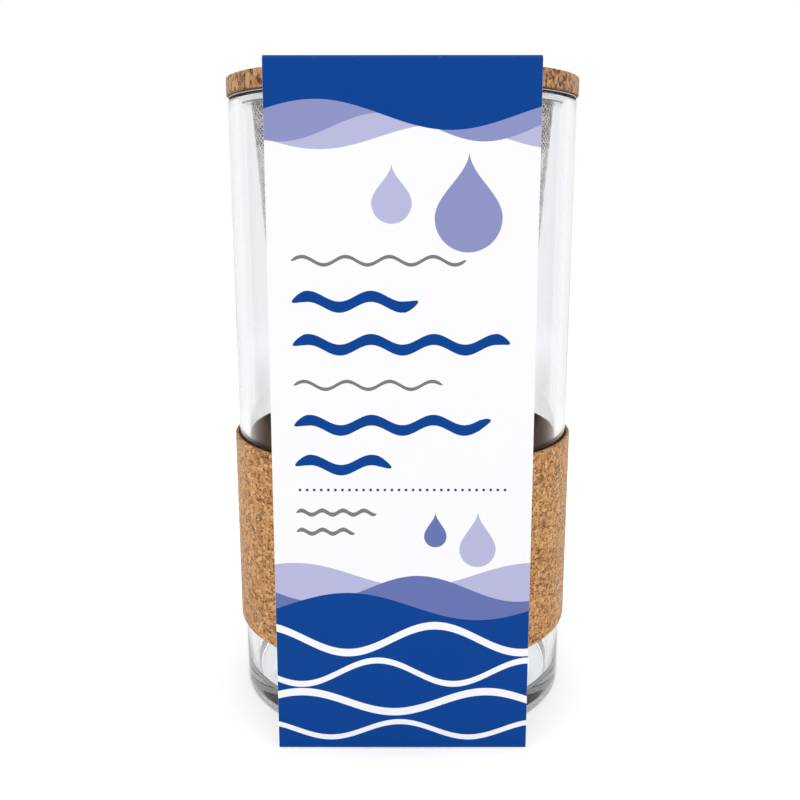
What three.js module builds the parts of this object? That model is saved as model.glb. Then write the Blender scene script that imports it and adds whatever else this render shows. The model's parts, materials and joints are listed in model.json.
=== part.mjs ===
// Hydroponic herb garden: a glass jar with a glued cork band, a steel mesh net pot hung in its
// mouth, the grow kit packed in the pot, a cork lid and a printed card sleeve saddled over it all.
// Millimetres, +Z up, origin on the table under the jar's centre, front of the sleeve towards -Y.
import * as THREE from "three";

// Glass jar
const JAR_HEIGHT = 154.4;
const JAR_RIM_RADIUS = 44.1;
const JAR_TAPER = 0.8;
const JAR_WALL = 2.6;
const JAR_LIP_RADIUS = 0.6;
const JAR_FLOOR = 5;
const JAR_HEEL_RADIUS = 1.2;
const JAR_FLOOR_FILLET = 2.5;
const JAR_STANDING_RING = 6;
const JAR_PUNT_RISE = 1.2;

// Cork band and the adhesive film that holds it on the glass
const BAND_BOTTOM = 19.5;
const BAND_HEIGHT = 50.4;
const BAND_CORK = 0.8;
const BAND_FILM = 0.15;
const BAND_FILM_GAP = 0.1;
const BAND_SEAM = 0.6;

// Net pot
const FLANGE_OVERLAP = 2.4;
const FLANGE_THICKNESS = 0.6;
const RIM_FIT_GAP = 0.9;
const RIM_SKIRT_HEIGHT = 1.8;
const RIM_SHOULDER = 2.2;
const RIM_SHEET = 0.6;
const POT_DEPTH = 78;
const POT_TAPER_PER_MM = 0.077;
const MESH_THICKNESS = 0.8;
const MESH_JOIN_GAP = 0.1;
const FOOT_RING_SHEET = 0.5;
const FOOT_RING_HEIGHT = 4.5;
const FOOT_RING_LIP = 2.4;

// Felt wick: one strip folded double through the pot's slot, its two tails spread on the pot's bottom
const FELT_THICKNESS = 1.2;
const WICK_WIDTH = 12;
const WICK_TAIL = 20;
const WICK_BEND = 1;
const WICK_FLOOR_GAP = 3;
const WICK_SLOT_CLEARANCE = 0.3;

// Grow kit packed in the pot
const COIR_CLEARANCE = 2;
const COIR_DISC_HEIGHT = 9.5;
const COIR_DISC_EDGE = 1.2;
const COIR_DIMPLE_RADIUS = 5;
const COIR_DIMPLE_DEPTH = 3;
const PACKET_HEADROOM = 4.6;
const SEED_PACKET_WIDTH = 46;
const SEED_PACKET_BULGE = 1.8;
const SACHET_WIDTH = 42;
const CARBON_SACHET_BULGE = 6.2;
const FOOD_SACHET_BULGE = 5.2;
const FOIL_SEAL = 0.6;
const LEAFLET_WIDTH = 50;
const LEAFLET_PAPER = 0.35;
const LEAFLET_FOLD_GAP = 0.45;
const LEAFLET_PANELS = 5;
const PACKET_SPACING = 0.5;

// Cork lid
const LID_OVERHANG = 0.4;
const LID_THICKNESS = 4.4;
const LID_EDGE = 0.5;
const LID_PLUG_DEPTH = 2.4;
const LID_PLUG_CLEARANCE = 1.6;

// Card sleeve
const SLEEVE_WIDTH = 59.5;
const CARD_THICKNESS = 0.5;
const SLEEVE_CLEARANCE = 0.4;
const SLEEVE_FOLD_RADIUS = 0.9;
const SLEEVE_FLOOR_GAP = 0.5;

// Clearance left where one piece is set down on another
const SEAT_GAP = 0.2;

// Facets
const ROUND_SEGMENTS = 64;
const BAND_SEGMENTS = 40;
const SMALL_ARC_STEPS = 4;
const LIP_STEPS = 3;
const PILLOW_STEPS = 8;

// Places worked out from the sizes above
const jarRadiusAt = (z) => JAR_RIM_RADIUS - JAR_TAPER * (1 - z / JAR_HEIGHT);
const jarMouthRadius = JAR_RIM_RADIUS - JAR_WALL;
const potSeatZ = JAR_HEIGHT + SEAT_GAP;
const lidSeatZ = potSeatZ + FLANGE_THICKNESS + SEAT_GAP;
const lidTopZ = lidSeatZ + LID_THICKNESS;
const lidRadius = JAR_RIM_RADIUS + LID_OVERHANG;
const lidPlugBottomZ = lidSeatZ - LID_PLUG_DEPTH;
const skirtRadius = jarMouthRadius - RIM_FIT_GAP;
const shoulderInner = skirtRadius - RIM_SHOULDER;
const shoulderTopDepth = RIM_SKIRT_HEIGHT - RIM_SHEET;
const meshTopRadius = shoulderInner - MESH_JOIN_GAP;
const meshRadiusAt = (depth) => meshTopRadius - POT_TAPER_PER_MM * (depth - shoulderTopDepth);
const footRadius = meshRadiusAt(POT_DEPTH);
const discRadius = footRadius - MESH_THICKNESS - 2 * MESH_JOIN_GAP;
const wickStem = 2 * FELT_THICKNESS;
const discTopDepth = POT_DEPTH - MESH_THICKNESS;
const wickTailDepth = discTopDepth - SEAT_GAP - FELT_THICKNESS;
const kitSeatZ = potSeatZ - wickTailDepth + SEAT_GAP;
const coirDiscRadius = footRadius - MESH_THICKNESS - COIR_CLEARANCE;
const packetSeat = 2 * (COIR_DISC_HEIGHT + SEAT_GAP);
const packetHeight = lidPlugBottomZ - PACKET_HEADROOM - kitSeatZ - packetSeat;
const bandOuterRadius = jarRadiusAt(BAND_BOTTOM + BAND_HEIGHT) + 2 * BAND_FILM_GAP + BAND_FILM + BAND_CORK;
const leafletPitch = LEAFLET_PAPER + LEAFLET_FOLD_GAP;
const sleeveInner = Math.max(lidRadius, bandOuterRadius) + SLEEVE_CLEARANCE;

// Materials
const finish = (color, roughness, metalness = 0) =>
  new THREE.MeshStandardMaterial({ color, roughness, metalness });
const clearGlass = finish(0xeef3f5, 0.05);
clearGlass.transparent = true;
clearGlass.opacity = 0.35;
const bandCork = finish(0xc79a68, 0.85);
const lidCork = finish(0xc49560, 0.85);
const adhesiveFilm = finish(0x3b2f28, 0.5);
const steel = finish(0xb9bbbb, 0.32, 1);
const felt = finish(0xe6e2d6, 0.95);
const coir = finish(0x6b4a30, 1);
const kraftPaper = finish(0xc9ad84, 0.9);
const foil = finish(0xdfe1e3, 0.3, 0.6);
const blackFoil = finish(0x2d2f31, 0.4);
const whitePaper = finish(0xf4f4f2, 0.85);
const printedCard = finish(0xf3f4f8, 0.6);

// Points on an arc of a profile, from one angle to another in degrees.
function arc(centreRadius, centreZ, radius, from, to, steps) {
  return Array.from({ length: steps + 1 }, (_, i) => {
    const angle = THREE.MathUtils.degToRad(from + ((to - from) * i) / steps);
    return [centreRadius + radius * Math.cos(angle), centreZ + radius * Math.sin(angle)];
  });
}

// A profile of [radius, z] points turned about Z.
function turned(profile, segments = ROUND_SEGMENTS) {
  const points = profile.map(([radius, z]) => new THREE.Vector2(radius, z));
  return new THREE.LatheGeometry(points, segments).rotateX(Math.PI / 2);
}

// A closed ring profile turned about Z.
const turnedRing = (profile) => turned([...profile, profile[0]]);

// An outline of [x, y] points pushed up along Z.
function raised(outline, height) {
  const shape = new THREE.Shape(outline.map(([x, y]) => new THREE.Vector2(x, y)));
  return new THREE.ExtrudeGeometry(shape, { depth: height, bevelEnabled: false });
}

// A side outline of [y, z] points pushed along X and centred there.
function pushedAlongX(outline, width) {
  const side = raised(outline, width).translate(0, 0, -width / 2);
  const basis = new THREE.Matrix4().makeBasis(
    new THREE.Vector3(0, 1, 0),
    new THREE.Vector3(0, 0, 1),
    new THREE.Vector3(1, 0, 0),
  );
  return side.applyMatrix4(basis);
}

// A flat packet standing on its lower edge, thin at its seals and swelling to the middle.
function pillow(width, height, seal, bulge) {
  const box = new THREE.BoxGeometry(width, 1, height, PILLOW_STEPS, 1, PILLOW_STEPS);
  const place = box.attributes.position;
  for (let i = 0; i < place.count; i += 1) {
    const across = Math.cos((Math.PI * place.getX(i)) / width);
    const along = Math.cos((Math.PI * place.getZ(i)) / height);
    const swell = Math.sqrt(Math.max(0, across * along));
    place.setY(i, (Math.sign(place.getY(i)) * (seal + bulge * swell)) / 2);
  }
  return box.translate(0, 0, height / 2);
}

// The jar: tapered wall, rounded lip, thick floor and a shallow push-up inside the standing ring.
function jarGeometry() {
  const heel = JAR_HEEL_RADIUS;
  const fillet = JAR_FLOOR_FILLET;
  const lip = JAR_LIP_RADIUS;
  const base = jarRadiusAt(0);
  const ringInner = base - heel - JAR_STANDING_RING;
  const innerBase = base - JAR_WALL;
  const punt = Array.from({ length: SMALL_ARC_STEPS + 1 }, (_, i) => {
    const share = i / SMALL_ARC_STEPS;
    return [ringInner * share, JAR_PUNT_RISE * (1 - share * share)];
  });
  return turned([
    ...punt,
    ...arc(base - heel, heel, heel, -90, 0, SMALL_ARC_STEPS),
    ...arc(JAR_RIM_RADIUS - lip, JAR_HEIGHT - lip, lip, 0, 90, LIP_STEPS),
    ...arc(jarMouthRadius + lip, JAR_HEIGHT - lip, lip, 90, 180, LIP_STEPS),
    ...arc(innerBase - fillet, JAR_FLOOR + fillet, fillet, 0, -90, SMALL_ARC_STEPS),
    [0, JAR_FLOOR],
  ]);
}

// A sheet wrapped round the jar and leaning with its wall, its ends meeting at a seam at the back.
function wrapGeometry(innerGap, thickness) {
  const inner = jarRadiusAt(BAND_BOTTOM) + innerGap;
  const outer = inner + thickness;
  const seamAngle = Math.PI / 2;
  const halfSeam = BAND_SEAM / 2 / inner;
  const shape = new THREE.Shape();
  shape.absarc(0, 0, outer, seamAngle + halfSeam, seamAngle + 2 * Math.PI - halfSeam, false);
  shape.absarc(0, 0, inner, seamAngle + 2 * Math.PI - halfSeam, seamAngle + halfSeam, true);
  const wrap = new THREE.ExtrudeGeometry(shape, {
    depth: BAND_HEIGHT,
    bevelEnabled: false,
    curveSegments: BAND_SEGMENTS,
  });
  const place = wrap.attributes.position;
  for (let i = 0; i < place.count; i += 1) {
    const lean = jarRadiusAt(place.getZ(i)) - jarRadiusAt(0);
    const stretch = 1 + lean / Math.hypot(place.getX(i), place.getY(i));
    place.setX(i, place.getX(i) * stretch);
    place.setY(i, place.getY(i) * stretch);
  }
  return wrap;
}

// The pot's rim: a flange on the jar's lip, a skirt in its mouth and a shoulder that holds the mesh.
function potRimGeometry() {
  const outer = jarMouthRadius + FLANGE_OVERLAP;
  const inner = skirtRadius - RIM_SHEET;
  return turnedRing([
    [shoulderInner, -RIM_SKIRT_HEIGHT],
    [skirtRadius, -RIM_SKIRT_HEIGHT],
    [skirtRadius, 0],
    [outer, 0],
    [outer, FLANGE_THICKNESS],
    [inner, FLANGE_THICKNESS],
    [inner, -shoulderTopDepth],
    [shoulderInner, -shoulderTopDepth],
  ]);
}

// The pot's wall: a tapered tube of mesh from the rim's shoulder down to the foot ring.
function potWallGeometry() {
  return turnedRing([
    [footRadius - MESH_THICKNESS, -POT_DEPTH],
    [footRadius, -POT_DEPTH],
    [meshTopRadius, -shoulderTopDepth],
    [meshTopRadius - MESH_THICKNESS, -shoulderTopDepth],
  ]);
}

// The pot's foot: a channel that closes the lower edge of the mesh and carries the bottom disc.
function footRingGeometry() {
  const lipTop = -POT_DEPTH - MESH_JOIN_GAP;
  const skirtTop = -POT_DEPTH + FOOT_RING_HEIGHT;
  const skirtInner = meshRadiusAt(POT_DEPTH - FOOT_RING_HEIGHT) + MESH_JOIN_GAP;
  const skirtOuter = skirtInner + FOOT_RING_SHEET;
  return turnedRing([
    [discRadius - FOOT_RING_LIP, lipTop - FOOT_RING_SHEET],
    [skirtOuter, lipTop - FOOT_RING_SHEET],
    [skirtOuter, skirtTop],
    [skirtInner, skirtTop],
    [skirtInner, lipTop],
    [discRadius - FOOT_RING_LIP, lipTop],
  ]);
}

// The pot's bottom: a mesh disc with a slot for the wick.
function potBottomGeometry() {
  const shape = new THREE.Shape();
  shape.absarc(0, 0, discRadius, 0, 2 * Math.PI, false);
  const halfX = WICK_WIDTH / 2 + WICK_SLOT_CLEARANCE;
  const halfY = wickStem / 2 + WICK_BEND + WICK_SLOT_CLEARANCE;
  shape.holes.push(
    new THREE.Path([
      new THREE.Vector2(-halfX, -halfY),
      new THREE.Vector2(-halfX, halfY),
      new THREE.Vector2(halfX, halfY),
      new THREE.Vector2(halfX, -halfY),
    ]),
  );
  return new THREE.ExtrudeGeometry(shape, {
    depth: MESH_THICKNESS,
    bevelEnabled: false,
    curveSegments: ROUND_SEGMENTS / 2,
  });
}

// The wick's side outline: a stem in the reservoir and two tails on the pot's bottom.
function wickGeometry() {
  const stemBottom = JAR_FLOOR + WICK_FLOOR_GAP - potSeatZ;
  const tailBottom = -wickTailDepth - FELT_THICKNESS;
  const half = wickStem / 2;
  const bend = arc(half + WICK_BEND, tailBottom - WICK_BEND, WICK_BEND, 180, 90, SMALL_ARC_STEPS);
  const foot = arc(0, stemBottom + half, half, 0, -90, SMALL_ARC_STEPS);
  const halfOutline = [
    ...foot.reverse(),
    ...bend,
    [half + WICK_TAIL, tailBottom],
    [half + WICK_TAIL, -wickTailDepth],
  ];
  const mirrored = halfOutline.slice(1).reverse();
  return pushedAlongX([...halfOutline, ...mirrored.map(([y, z]) => [-y, z])], WICK_WIDTH);
}

// A pressed disc of coir with eased edges and a planting dimple.
function coirDiscGeometry() {
  return turned([
    [0, 0],
    [coirDiscRadius - COIR_DISC_EDGE, 0],
    [coirDiscRadius, COIR_DISC_EDGE],
    [coirDiscRadius, COIR_DISC_HEIGHT - COIR_DISC_EDGE],
    [coirDiscRadius - COIR_DISC_EDGE, COIR_DISC_HEIGHT],
    [COIR_DIMPLE_RADIUS, COIR_DISC_HEIGHT],
    [0, COIR_DISC_HEIGHT - COIR_DIMPLE_DEPTH],
  ], ROUND_SEGMENTS / 2);
}

// The outline of a strip that follows square corners, half its thickness to each side of them.
function stripOutline(corners, thickness) {
  const sideOf = (from, to) => new THREE.Vector2(from.y - to.y, to.x - from.x).normalize();
  const shifts = corners.map((corner, i) => {
    const shift = new THREE.Vector2();
    if (i > 0) shift.add(sideOf(corners[i - 1], corner));
    if (i < corners.length - 1) shift.add(sideOf(corner, corners[i + 1]));
    return shift.multiplyScalar(thickness / 2);
  });
  const left = corners.map((corner, i) => corner.clone().add(shifts[i]).toArray());
  const right = corners.map((corner, i) => corner.clone().sub(shifts[i]).toArray());
  return [...right, ...left.reverse()];
}

// The leaflet: one sheet folded to and fro, seen from above as a serpentine centred on its middle panel.
function leafletGeometry() {
  const half = (LEAFLET_WIDTH - LEAFLET_PAPER) / 2;
  const corners = [];
  for (let i = 0; i < LEAFLET_PANELS; i += 1) {
    const y = leafletPitch * (i - (LEAFLET_PANELS - 1) / 2);
    const end = i % 2 ? -half : half;
    corners.push(new THREE.Vector2(-end, y), new THREE.Vector2(end, y));
  }
  return raised(stripOutline(corners, LEAFLET_PAPER), packetHeight);
}

// The lid: a cork disc with eased edges and a plug that drops into the pot's mouth.
function lidGeometry() {
  const plugRadius = meshTopRadius - MESH_THICKNESS - LID_PLUG_CLEARANCE;
  return turned([
    [0, -LID_PLUG_DEPTH],
    [plugRadius - LID_EDGE, -LID_PLUG_DEPTH],
    [plugRadius, -LID_PLUG_DEPTH + LID_EDGE],
    [plugRadius, 0],
    [lidRadius - LID_EDGE, 0],
    [lidRadius, LID_EDGE],
    [lidRadius, LID_THICKNESS - LID_EDGE],
    [lidRadius - LID_EDGE, LID_THICKNESS],
    [0, LID_THICKNESS],
  ]);
}

// The sleeve's side outline: front panel, fold, top panel, fold and rear panel, open underneath.
function sleeveGeometry() {
  const underside = lidTopZ + SEAT_GAP;
  const innerFold = SLEEVE_FOLD_RADIUS;
  const outerFold = innerFold + CARD_THICKNESS;
  const foldY = sleeveInner - innerFold;
  const foldZ = underside - innerFold;
  const outer = [
    [sleeveInner + CARD_THICKNESS, SLEEVE_FLOOR_GAP],
    ...arc(foldY, foldZ, outerFold, 0, 90, SMALL_ARC_STEPS),
  ];
  const inner = [
    ...arc(foldY, foldZ, innerFold, 90, 0, SMALL_ARC_STEPS),
    [sleeveInner, SLEEVE_FLOOR_GAP],
  ];
  const flipped = (points) => points.map(([y, z]) => [-y, z]).reverse();
  return pushedAlongX([...outer, ...flipped(outer), ...flipped(inner), ...inner], SLEEVE_WIDTH);
}

// A named piece with a finish of its own, set at a height and a depth behind the jar's centre.
function piece(name, geometry, material, z = 0, y = 0) {
  const mesh = new THREE.Mesh(geometry, material.clone());
  mesh.name = name;
  mesh.position.set(0, y, z);
  return mesh;
}

// A group of pieces set at a height.
function assembly(z, ...pieces) {
  const group = new THREE.Group();
  group.position.z = z;
  group.add(...pieces);
  return group;
}

// The packets stand one behind another across the pot, centred on its axis.
function packedUpright() {
  const leafletThickness = LEAFLET_PANELS * leafletPitch - LEAFLET_FOLD_GAP;
  const seedPacket = () => pillow(SEED_PACKET_WIDTH, packetHeight, FOIL_SEAL, SEED_PACKET_BULGE);
  const sachet = (bulge) => pillow(SACHET_WIDTH, packetHeight, FOIL_SEAL, bulge);
  const row = [
    ["basil_seed_packet", seedPacket(), kraftPaper, FOIL_SEAL + SEED_PACKET_BULGE],
    ["parsley_seed_packet", seedPacket(), kraftPaper, FOIL_SEAL + SEED_PACKET_BULGE],
    ["instruction_leaflet", leafletGeometry(), whitePaper, leafletThickness],
    ["plant_food_sachet", sachet(FOOD_SACHET_BULGE), foil, FOIL_SEAL + FOOD_SACHET_BULGE],
    ["carbon_sachet", sachet(CARBON_SACHET_BULGE), blackFoil, FOIL_SEAL + CARBON_SACHET_BULGE],
  ];
  const total = row.reduce((sum, [, , , thickness]) => sum + thickness + PACKET_SPACING, -PACKET_SPACING);
  let y = -total / 2;
  return row.map(([name, geometry, material, thickness]) => {
    const made = piece(name, geometry, material, packetSeat, y + thickness / 2);
    y += thickness + PACKET_SPACING;
    return made;
  });
}

const jar = assembly(
  0,
  piece("glass_jar", jarGeometry(), clearGlass),
  piece("band_adhesive", wrapGeometry(BAND_FILM_GAP, BAND_FILM), adhesiveFilm, BAND_BOTTOM),
  piece("cork_band", wrapGeometry(2 * BAND_FILM_GAP + BAND_FILM, BAND_CORK), bandCork, BAND_BOTTOM),
);

const netPot = assembly(
  potSeatZ,
  piece("net_pot_rim", potRimGeometry(), steel),
  piece("net_pot_wall", potWallGeometry(), steel),
  piece("net_pot_foot_ring", footRingGeometry(), steel),
  piece("net_pot_bottom", potBottomGeometry(), steel, -POT_DEPTH),
  piece("wick", wickGeometry(), felt),
);

const growKit = assembly(
  kitSeatZ,
  piece("coir_disc_lower", coirDiscGeometry(), coir),
  piece("coir_disc_upper", coirDiscGeometry(), coir, COIR_DISC_HEIGHT + SEAT_GAP),
  ...packedUpright(),
);

const lid = assembly(lidSeatZ, piece("cork_lid", lidGeometry(), lidCork));
const sleeve = assembly(0, piece("card_sleeve", sleeveGeometry(), printedCard));

const herbGarden = new THREE.Group();
herbGarden.add(jar, netPot, growKit, lid, sleeve);

export default herbGarden;
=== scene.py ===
"""Hydroponic herb garden kit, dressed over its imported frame: a glass jar with a cork band
and lid, a steel net pot with its growing kit, and a printed card sleeve."""
import json
import math
import random

import bmesh
import bpy
from bpy.props import FloatProperty, FloatVectorProperty, IntProperty, PointerProperty
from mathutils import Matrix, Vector, noise

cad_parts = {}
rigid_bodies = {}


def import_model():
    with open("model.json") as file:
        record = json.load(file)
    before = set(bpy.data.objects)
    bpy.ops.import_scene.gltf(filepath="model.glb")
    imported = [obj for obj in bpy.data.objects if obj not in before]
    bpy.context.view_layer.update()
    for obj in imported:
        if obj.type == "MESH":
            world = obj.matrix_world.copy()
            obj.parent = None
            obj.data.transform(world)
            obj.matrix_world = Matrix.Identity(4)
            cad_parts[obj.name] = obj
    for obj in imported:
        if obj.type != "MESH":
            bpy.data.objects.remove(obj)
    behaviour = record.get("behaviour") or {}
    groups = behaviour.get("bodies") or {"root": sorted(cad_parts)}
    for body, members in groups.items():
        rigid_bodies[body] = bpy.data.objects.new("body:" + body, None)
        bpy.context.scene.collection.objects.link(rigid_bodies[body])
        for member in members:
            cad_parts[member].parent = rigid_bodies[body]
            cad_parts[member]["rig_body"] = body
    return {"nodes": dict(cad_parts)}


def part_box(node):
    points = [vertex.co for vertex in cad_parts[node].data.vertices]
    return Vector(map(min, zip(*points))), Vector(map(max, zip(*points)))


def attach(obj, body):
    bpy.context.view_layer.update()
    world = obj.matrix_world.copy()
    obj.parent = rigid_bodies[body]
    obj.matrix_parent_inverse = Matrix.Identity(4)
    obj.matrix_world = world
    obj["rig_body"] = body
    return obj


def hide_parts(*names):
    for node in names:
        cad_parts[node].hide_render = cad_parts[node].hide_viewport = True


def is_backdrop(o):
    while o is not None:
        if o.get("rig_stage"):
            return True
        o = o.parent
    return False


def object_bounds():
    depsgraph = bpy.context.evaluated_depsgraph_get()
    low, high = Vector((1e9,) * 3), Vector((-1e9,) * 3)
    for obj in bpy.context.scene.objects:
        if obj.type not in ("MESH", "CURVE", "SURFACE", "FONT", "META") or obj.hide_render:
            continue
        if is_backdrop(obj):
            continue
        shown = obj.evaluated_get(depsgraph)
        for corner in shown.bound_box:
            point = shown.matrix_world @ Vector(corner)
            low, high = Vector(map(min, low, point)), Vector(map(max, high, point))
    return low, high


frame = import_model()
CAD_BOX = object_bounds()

bl_info = {
    "name": "Hydroponic herb garden",
    "version": (1, 0, 0),
    "blender": (4, 5, 0),
    "location": "3D View > Sidebar > Herb garden",
    "description": "Dresses the packed herb garden kit piece by piece",
    "category": "Object",
}

MM = 0.001


# Frame values that the settings start from

def frame_top(node):
    """A frame node's highest point, in metres."""
    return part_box(node)[1].z


def frame_foot(node):
    """A frame node's lowest point, in metres."""
    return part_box(node)[0].z


def frame_reach(node):
    """A frame node's reach to the right, in metres."""
    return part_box(node)[1].x


# Settings

def linear(red, green, blue):
    """A colour as it is seen, 0 to 255, as the light values that shaders take."""
    shares = [value / 255 for value in (red, green, blue)]
    return tuple(s / 12.92 if s <= 0.04045 else ((s + 0.055) / 1.055) ** 2.4 for s in shares)


def length(name, description, metres):
    """A length setting."""
    return FloatProperty(
        name=name, description=description, default=metres, min=0, unit="LENGTH", precision=5)


def shade(name, description, red, green, blue):
    """A colour setting, given as it is seen."""
    return FloatVectorProperty(
        name=name, description=description, default=linear(red, green, blue),
        min=0, max=1, size=3, subtype="COLOR")


def share(name, description, value, most=1.0):
    """A plain number setting."""
    return FloatProperty(
        name=name, description=description, default=value, min=0, max=most, subtype="FACTOR")


def power(name, description, watts):
    """A lamp's power setting."""
    return FloatProperty(name=name, description=description, default=watts, min=0, unit="POWER")


class HerbGardenJar(bpy.types.PropertyGroup):
    """Sizes and tint of the glass jar."""
    height: length("Height", "Table to lip", frame_top("glass_jar"))
    rim_radius: length("Rim radius", "Outer radius at the lip", frame_reach("glass_jar"))
    taper: length("Taper", "How much narrower the jar is at its foot", 0.8 * MM)
    wall: length("Wall", "Thickness of the wall", 2.6 * MM)
    lip: length("Lip radius", "Rounding of the lip's two edges", 0.6 * MM)
    floor: length("Floor", "Thickness of the floor", 5 * MM)
    heel: length("Heel radius", "Rounding where the wall meets the table", 1.2 * MM)
    fillet: length("Floor fillet", "Rounding between floor and wall inside", 2.5 * MM)
    ring: length("Standing ring", "Width of the ring that the jar stands on", 6 * MM)
    punt: length("Push-up", "Rise of the underside inside the standing ring", 1.2 * MM)
    tint: shade("Tint", "Colour that thick glass takes on", 222, 230, 238)
    sheen: shade("Sheen", "Faint colour of light passing through the surface", 252, 253, 255)
    density: FloatProperty(
        name="Density", description="How fast the glass takes up light, per metre",
        default=12, min=0)


class HerbGardenCork(bpy.types.PropertyGroup):
    """Sizes and colours of the cork band and the cork lid."""
    band_foot: length("Band foot", "Height of the band's lower edge", frame_foot("cork_band"))
    band_top: length("Band top", "Height of the band's upper edge", frame_top("cork_band"))
    band_gap: length("Band gap", "Glass to the band's inner side", 0.35 * MM)
    band_thickness: length("Band thickness", "Thickness of the cork sheet", 0.8 * MM)
    film_wet: length("Film wetting", "How far the film lies into the glass", 0.03 * MM)
    film_thickness: length("Film thickness", "Thickness of the adhesive film", 0.28 * MM)
    seam: length("Seam", "Width of the seam at the back", 0.6 * MM)
    band_grain: length("Band grain", "Size of the band's cork granules", 1.25 * MM)
    lid_grain: length("Lid grain", "Size of the lid's cork granules", 1.8 * MM)
    lid_radius: length("Lid radius", "Outer radius of the lid", frame_reach("cork_lid"))
    lid_top: length("Lid top", "Height of the lid's top", frame_top("cork_lid"))
    lid_foot: length("Lid foot", "Height of the plug's underside", frame_foot("cork_lid"))
    plug_radius: length("Plug radius", "Radius of the plug under the lid", 35.9 * MM)
    plug_depth: length("Plug depth", "Depth of the plug under the lid", 2.4 * MM)
    band_light: shade("Band light", "Light granules of the band", 231, 183, 128)
    band_body: shade("Band body", "Main colour of the band", 208, 152, 95)
    band_dark: shade("Band dark", "Dark specks of the band", 74, 22, 0)
    lid_light: shade("Lid light", "Light granules of the lid", 208, 165, 118)
    lid_body: shade("Lid body", "Main colour of the lid", 190, 139, 87)
    lid_dark: shade("Lid dark", "Fissures and specks of the lid", 76, 28, 0)
    film: shade("Film", "Adhesive film behind the band", 92, 66, 48)


class HerbGardenPot(bpy.types.PropertyGroup):
    """Sizes and colours of the net pot and its wick."""
    flange_top: length("Flange top", "Height of the flange's top", frame_top("net_pot_rim"))
    flange_radius: length("Flange radius", "Radius of the flange", frame_reach("net_pot_rim"))
    rim_foot: length("Rim foot", "Height of the shoulder's underside", frame_foot("net_pot_rim"))
    rim_sheet: length("Rim sheet", "Thickness of the rim's steel", 0.6 * MM)
    skirt_radius: length("Skirt radius", "Outer radius of the skirt in the jar's mouth", 40.6 * MM)
    shoulder: length("Shoulder", "Width of the shoulder that holds the mesh", 2.2 * MM)
    mesh_top: length("Mesh top", "Height of the mesh's upper edge", frame_top("net_pot_wall"))
    mesh_foot: length("Mesh foot", "Height of the mesh's lower edge", frame_foot("net_pot_wall"))
    mesh_radius: length("Mesh radius", "Radius of the mesh's top", frame_reach("net_pot_wall"))
    mesh_taper: share("Mesh taper", "How fast the mesh narrows downwards", 0.077)
    disc_radius: length("Disc radius", "Outer radius of the bottom", frame_reach("net_pot_bottom"))
    disc_foot: length("Disc foot", "Height of its underside", frame_foot("net_pot_bottom"))
    slot_length: length("Slot length", "Length of the slot for the wick", 12.6 * MM)
    slot_width: length("Slot width", "Width of the slot for the wick", 5 * MM)
    slot_bar: length("Slot bar", "Width of the bars that frame the slot", 1.3 * MM)
    disc_border: length("Disc border", "Width of the bottom's rolled border", 1.9 * MM)
    foot_sheet: length("Foot sheet", "Thickness of the foot channel's steel", 0.5 * MM)
    foot_lip: length("Foot lip", "How far the foot channel reaches under the bottom", 2.4 * MM)
    columns: IntProperty(
        name="Columns", description="Diamonds round the mesh", default=94, min=24, max=140)
    pitch: length("Row pitch", "Height of one diamond of the mesh", 1.15 * MM)
    strand: length("Strand", "Width of one strand of the mesh", 0.46 * MM)
    sheet: length("Mesh sheet", "Thickness of the mesh", 0.24 * MM)
    steel: shade("Steel", "Colour of the polished steel", 228, 228, 227)
    # The mesh colours paint light and shade: a lit colour for outward ridges, a shaded one for gap
    # edges and inward faces, and darker copies of both as painted shade near the rim
    mesh: shade("Mesh", "Colour of the strands' outer ridges", 255, 253, 250)
    mesh_inner: shade("Mesh inside", "Colour of gap edges and inner faces", 220, 217, 212)
    mesh_dull: shade("Mesh dull", "Colour of the ridges near the rim", 244, 235, 226)
    mesh_dark: shade("Mesh dark", "Colour of edges and inner faces near the rim", 18, 16, 15)
    felt: shade("Felt", "Colour of the wick", 231, 227, 214)
    felt_light: shade("Felt fibre", "Light fibres of the wick", 245, 243, 235)
    wick_width: length("Wick width", "Width of the felt strip", 12 * MM)
    wick_felt: length("Felt thickness", "Thickness of the felt strip", 1.15 * MM)


class HerbGardenKit(bpy.types.PropertyGroup):
    """Colours of the growing kit inside the net pot."""
    coir: shade("Coir", "Main colour of the pressed discs", 112, 78, 50)
    coir_light: shade("Coir fibre", "Light fibres of the pressed discs", 176, 134, 88)
    kraft: shade("Kraft", "Paper of the seed packets", 203, 172, 128)
    first_band: shade("First band", "Printed band of the basil seed packet", 72, 122, 74)
    second_band: shade("Second band", "Printed band of the parsley seed packet", 128, 158, 72)
    paper: shade("Paper", "Paper of the leaflet", 242, 242, 239)
    foil: shade("Foil", "Film of the plant food sachet", 216, 219, 222)
    foil_label: shade("Foil label", "Label of the plant food sachet", 236, 238, 240)
    dark_film: shade("Dark film", "Film of the carbon sachet", 46, 48, 51)
    dark_label: shade("Dark label", "Label of the carbon sachet", 120, 123, 127)


class HerbGardenSleeve(bpy.types.PropertyGroup):
    """Sizes and colours of the printed card sleeve."""
    width: length("Width", "Width of the card", 2 * frame_reach("card_sleeve"))
    reach: length("Reach", "Centre line to the outer face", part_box("card_sleeve")[1].y)
    top: length("Top", "Height of the top face", frame_top("card_sleeve"))
    foot: length("Foot", "Height of the lower edges", frame_foot("card_sleeve"))
    card: length("Card", "Thickness of the card", 0.5 * MM)
    fold: length("Fold", "Radius of the folds at the card's middle", 1.15 * MM)
    white: shade("White", "Bare face of the card", 251, 251, 253)
    blue: shade("Blue", "Main ink", 0, 66, 147)
    lavender: shade("Lavender", "Second ink", 142, 148, 197)
    pale: shade("Pale lavender", "Third ink", 186, 187, 221)
    violet: shade("Violet", "Fourth ink", 105, 118, 178)
    grey: shade("Grey", "Ink of the fine strokes", 122, 124, 128)
    board: shade("Board", "Inside and cut edges of the card", 238, 237, 232)


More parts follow.
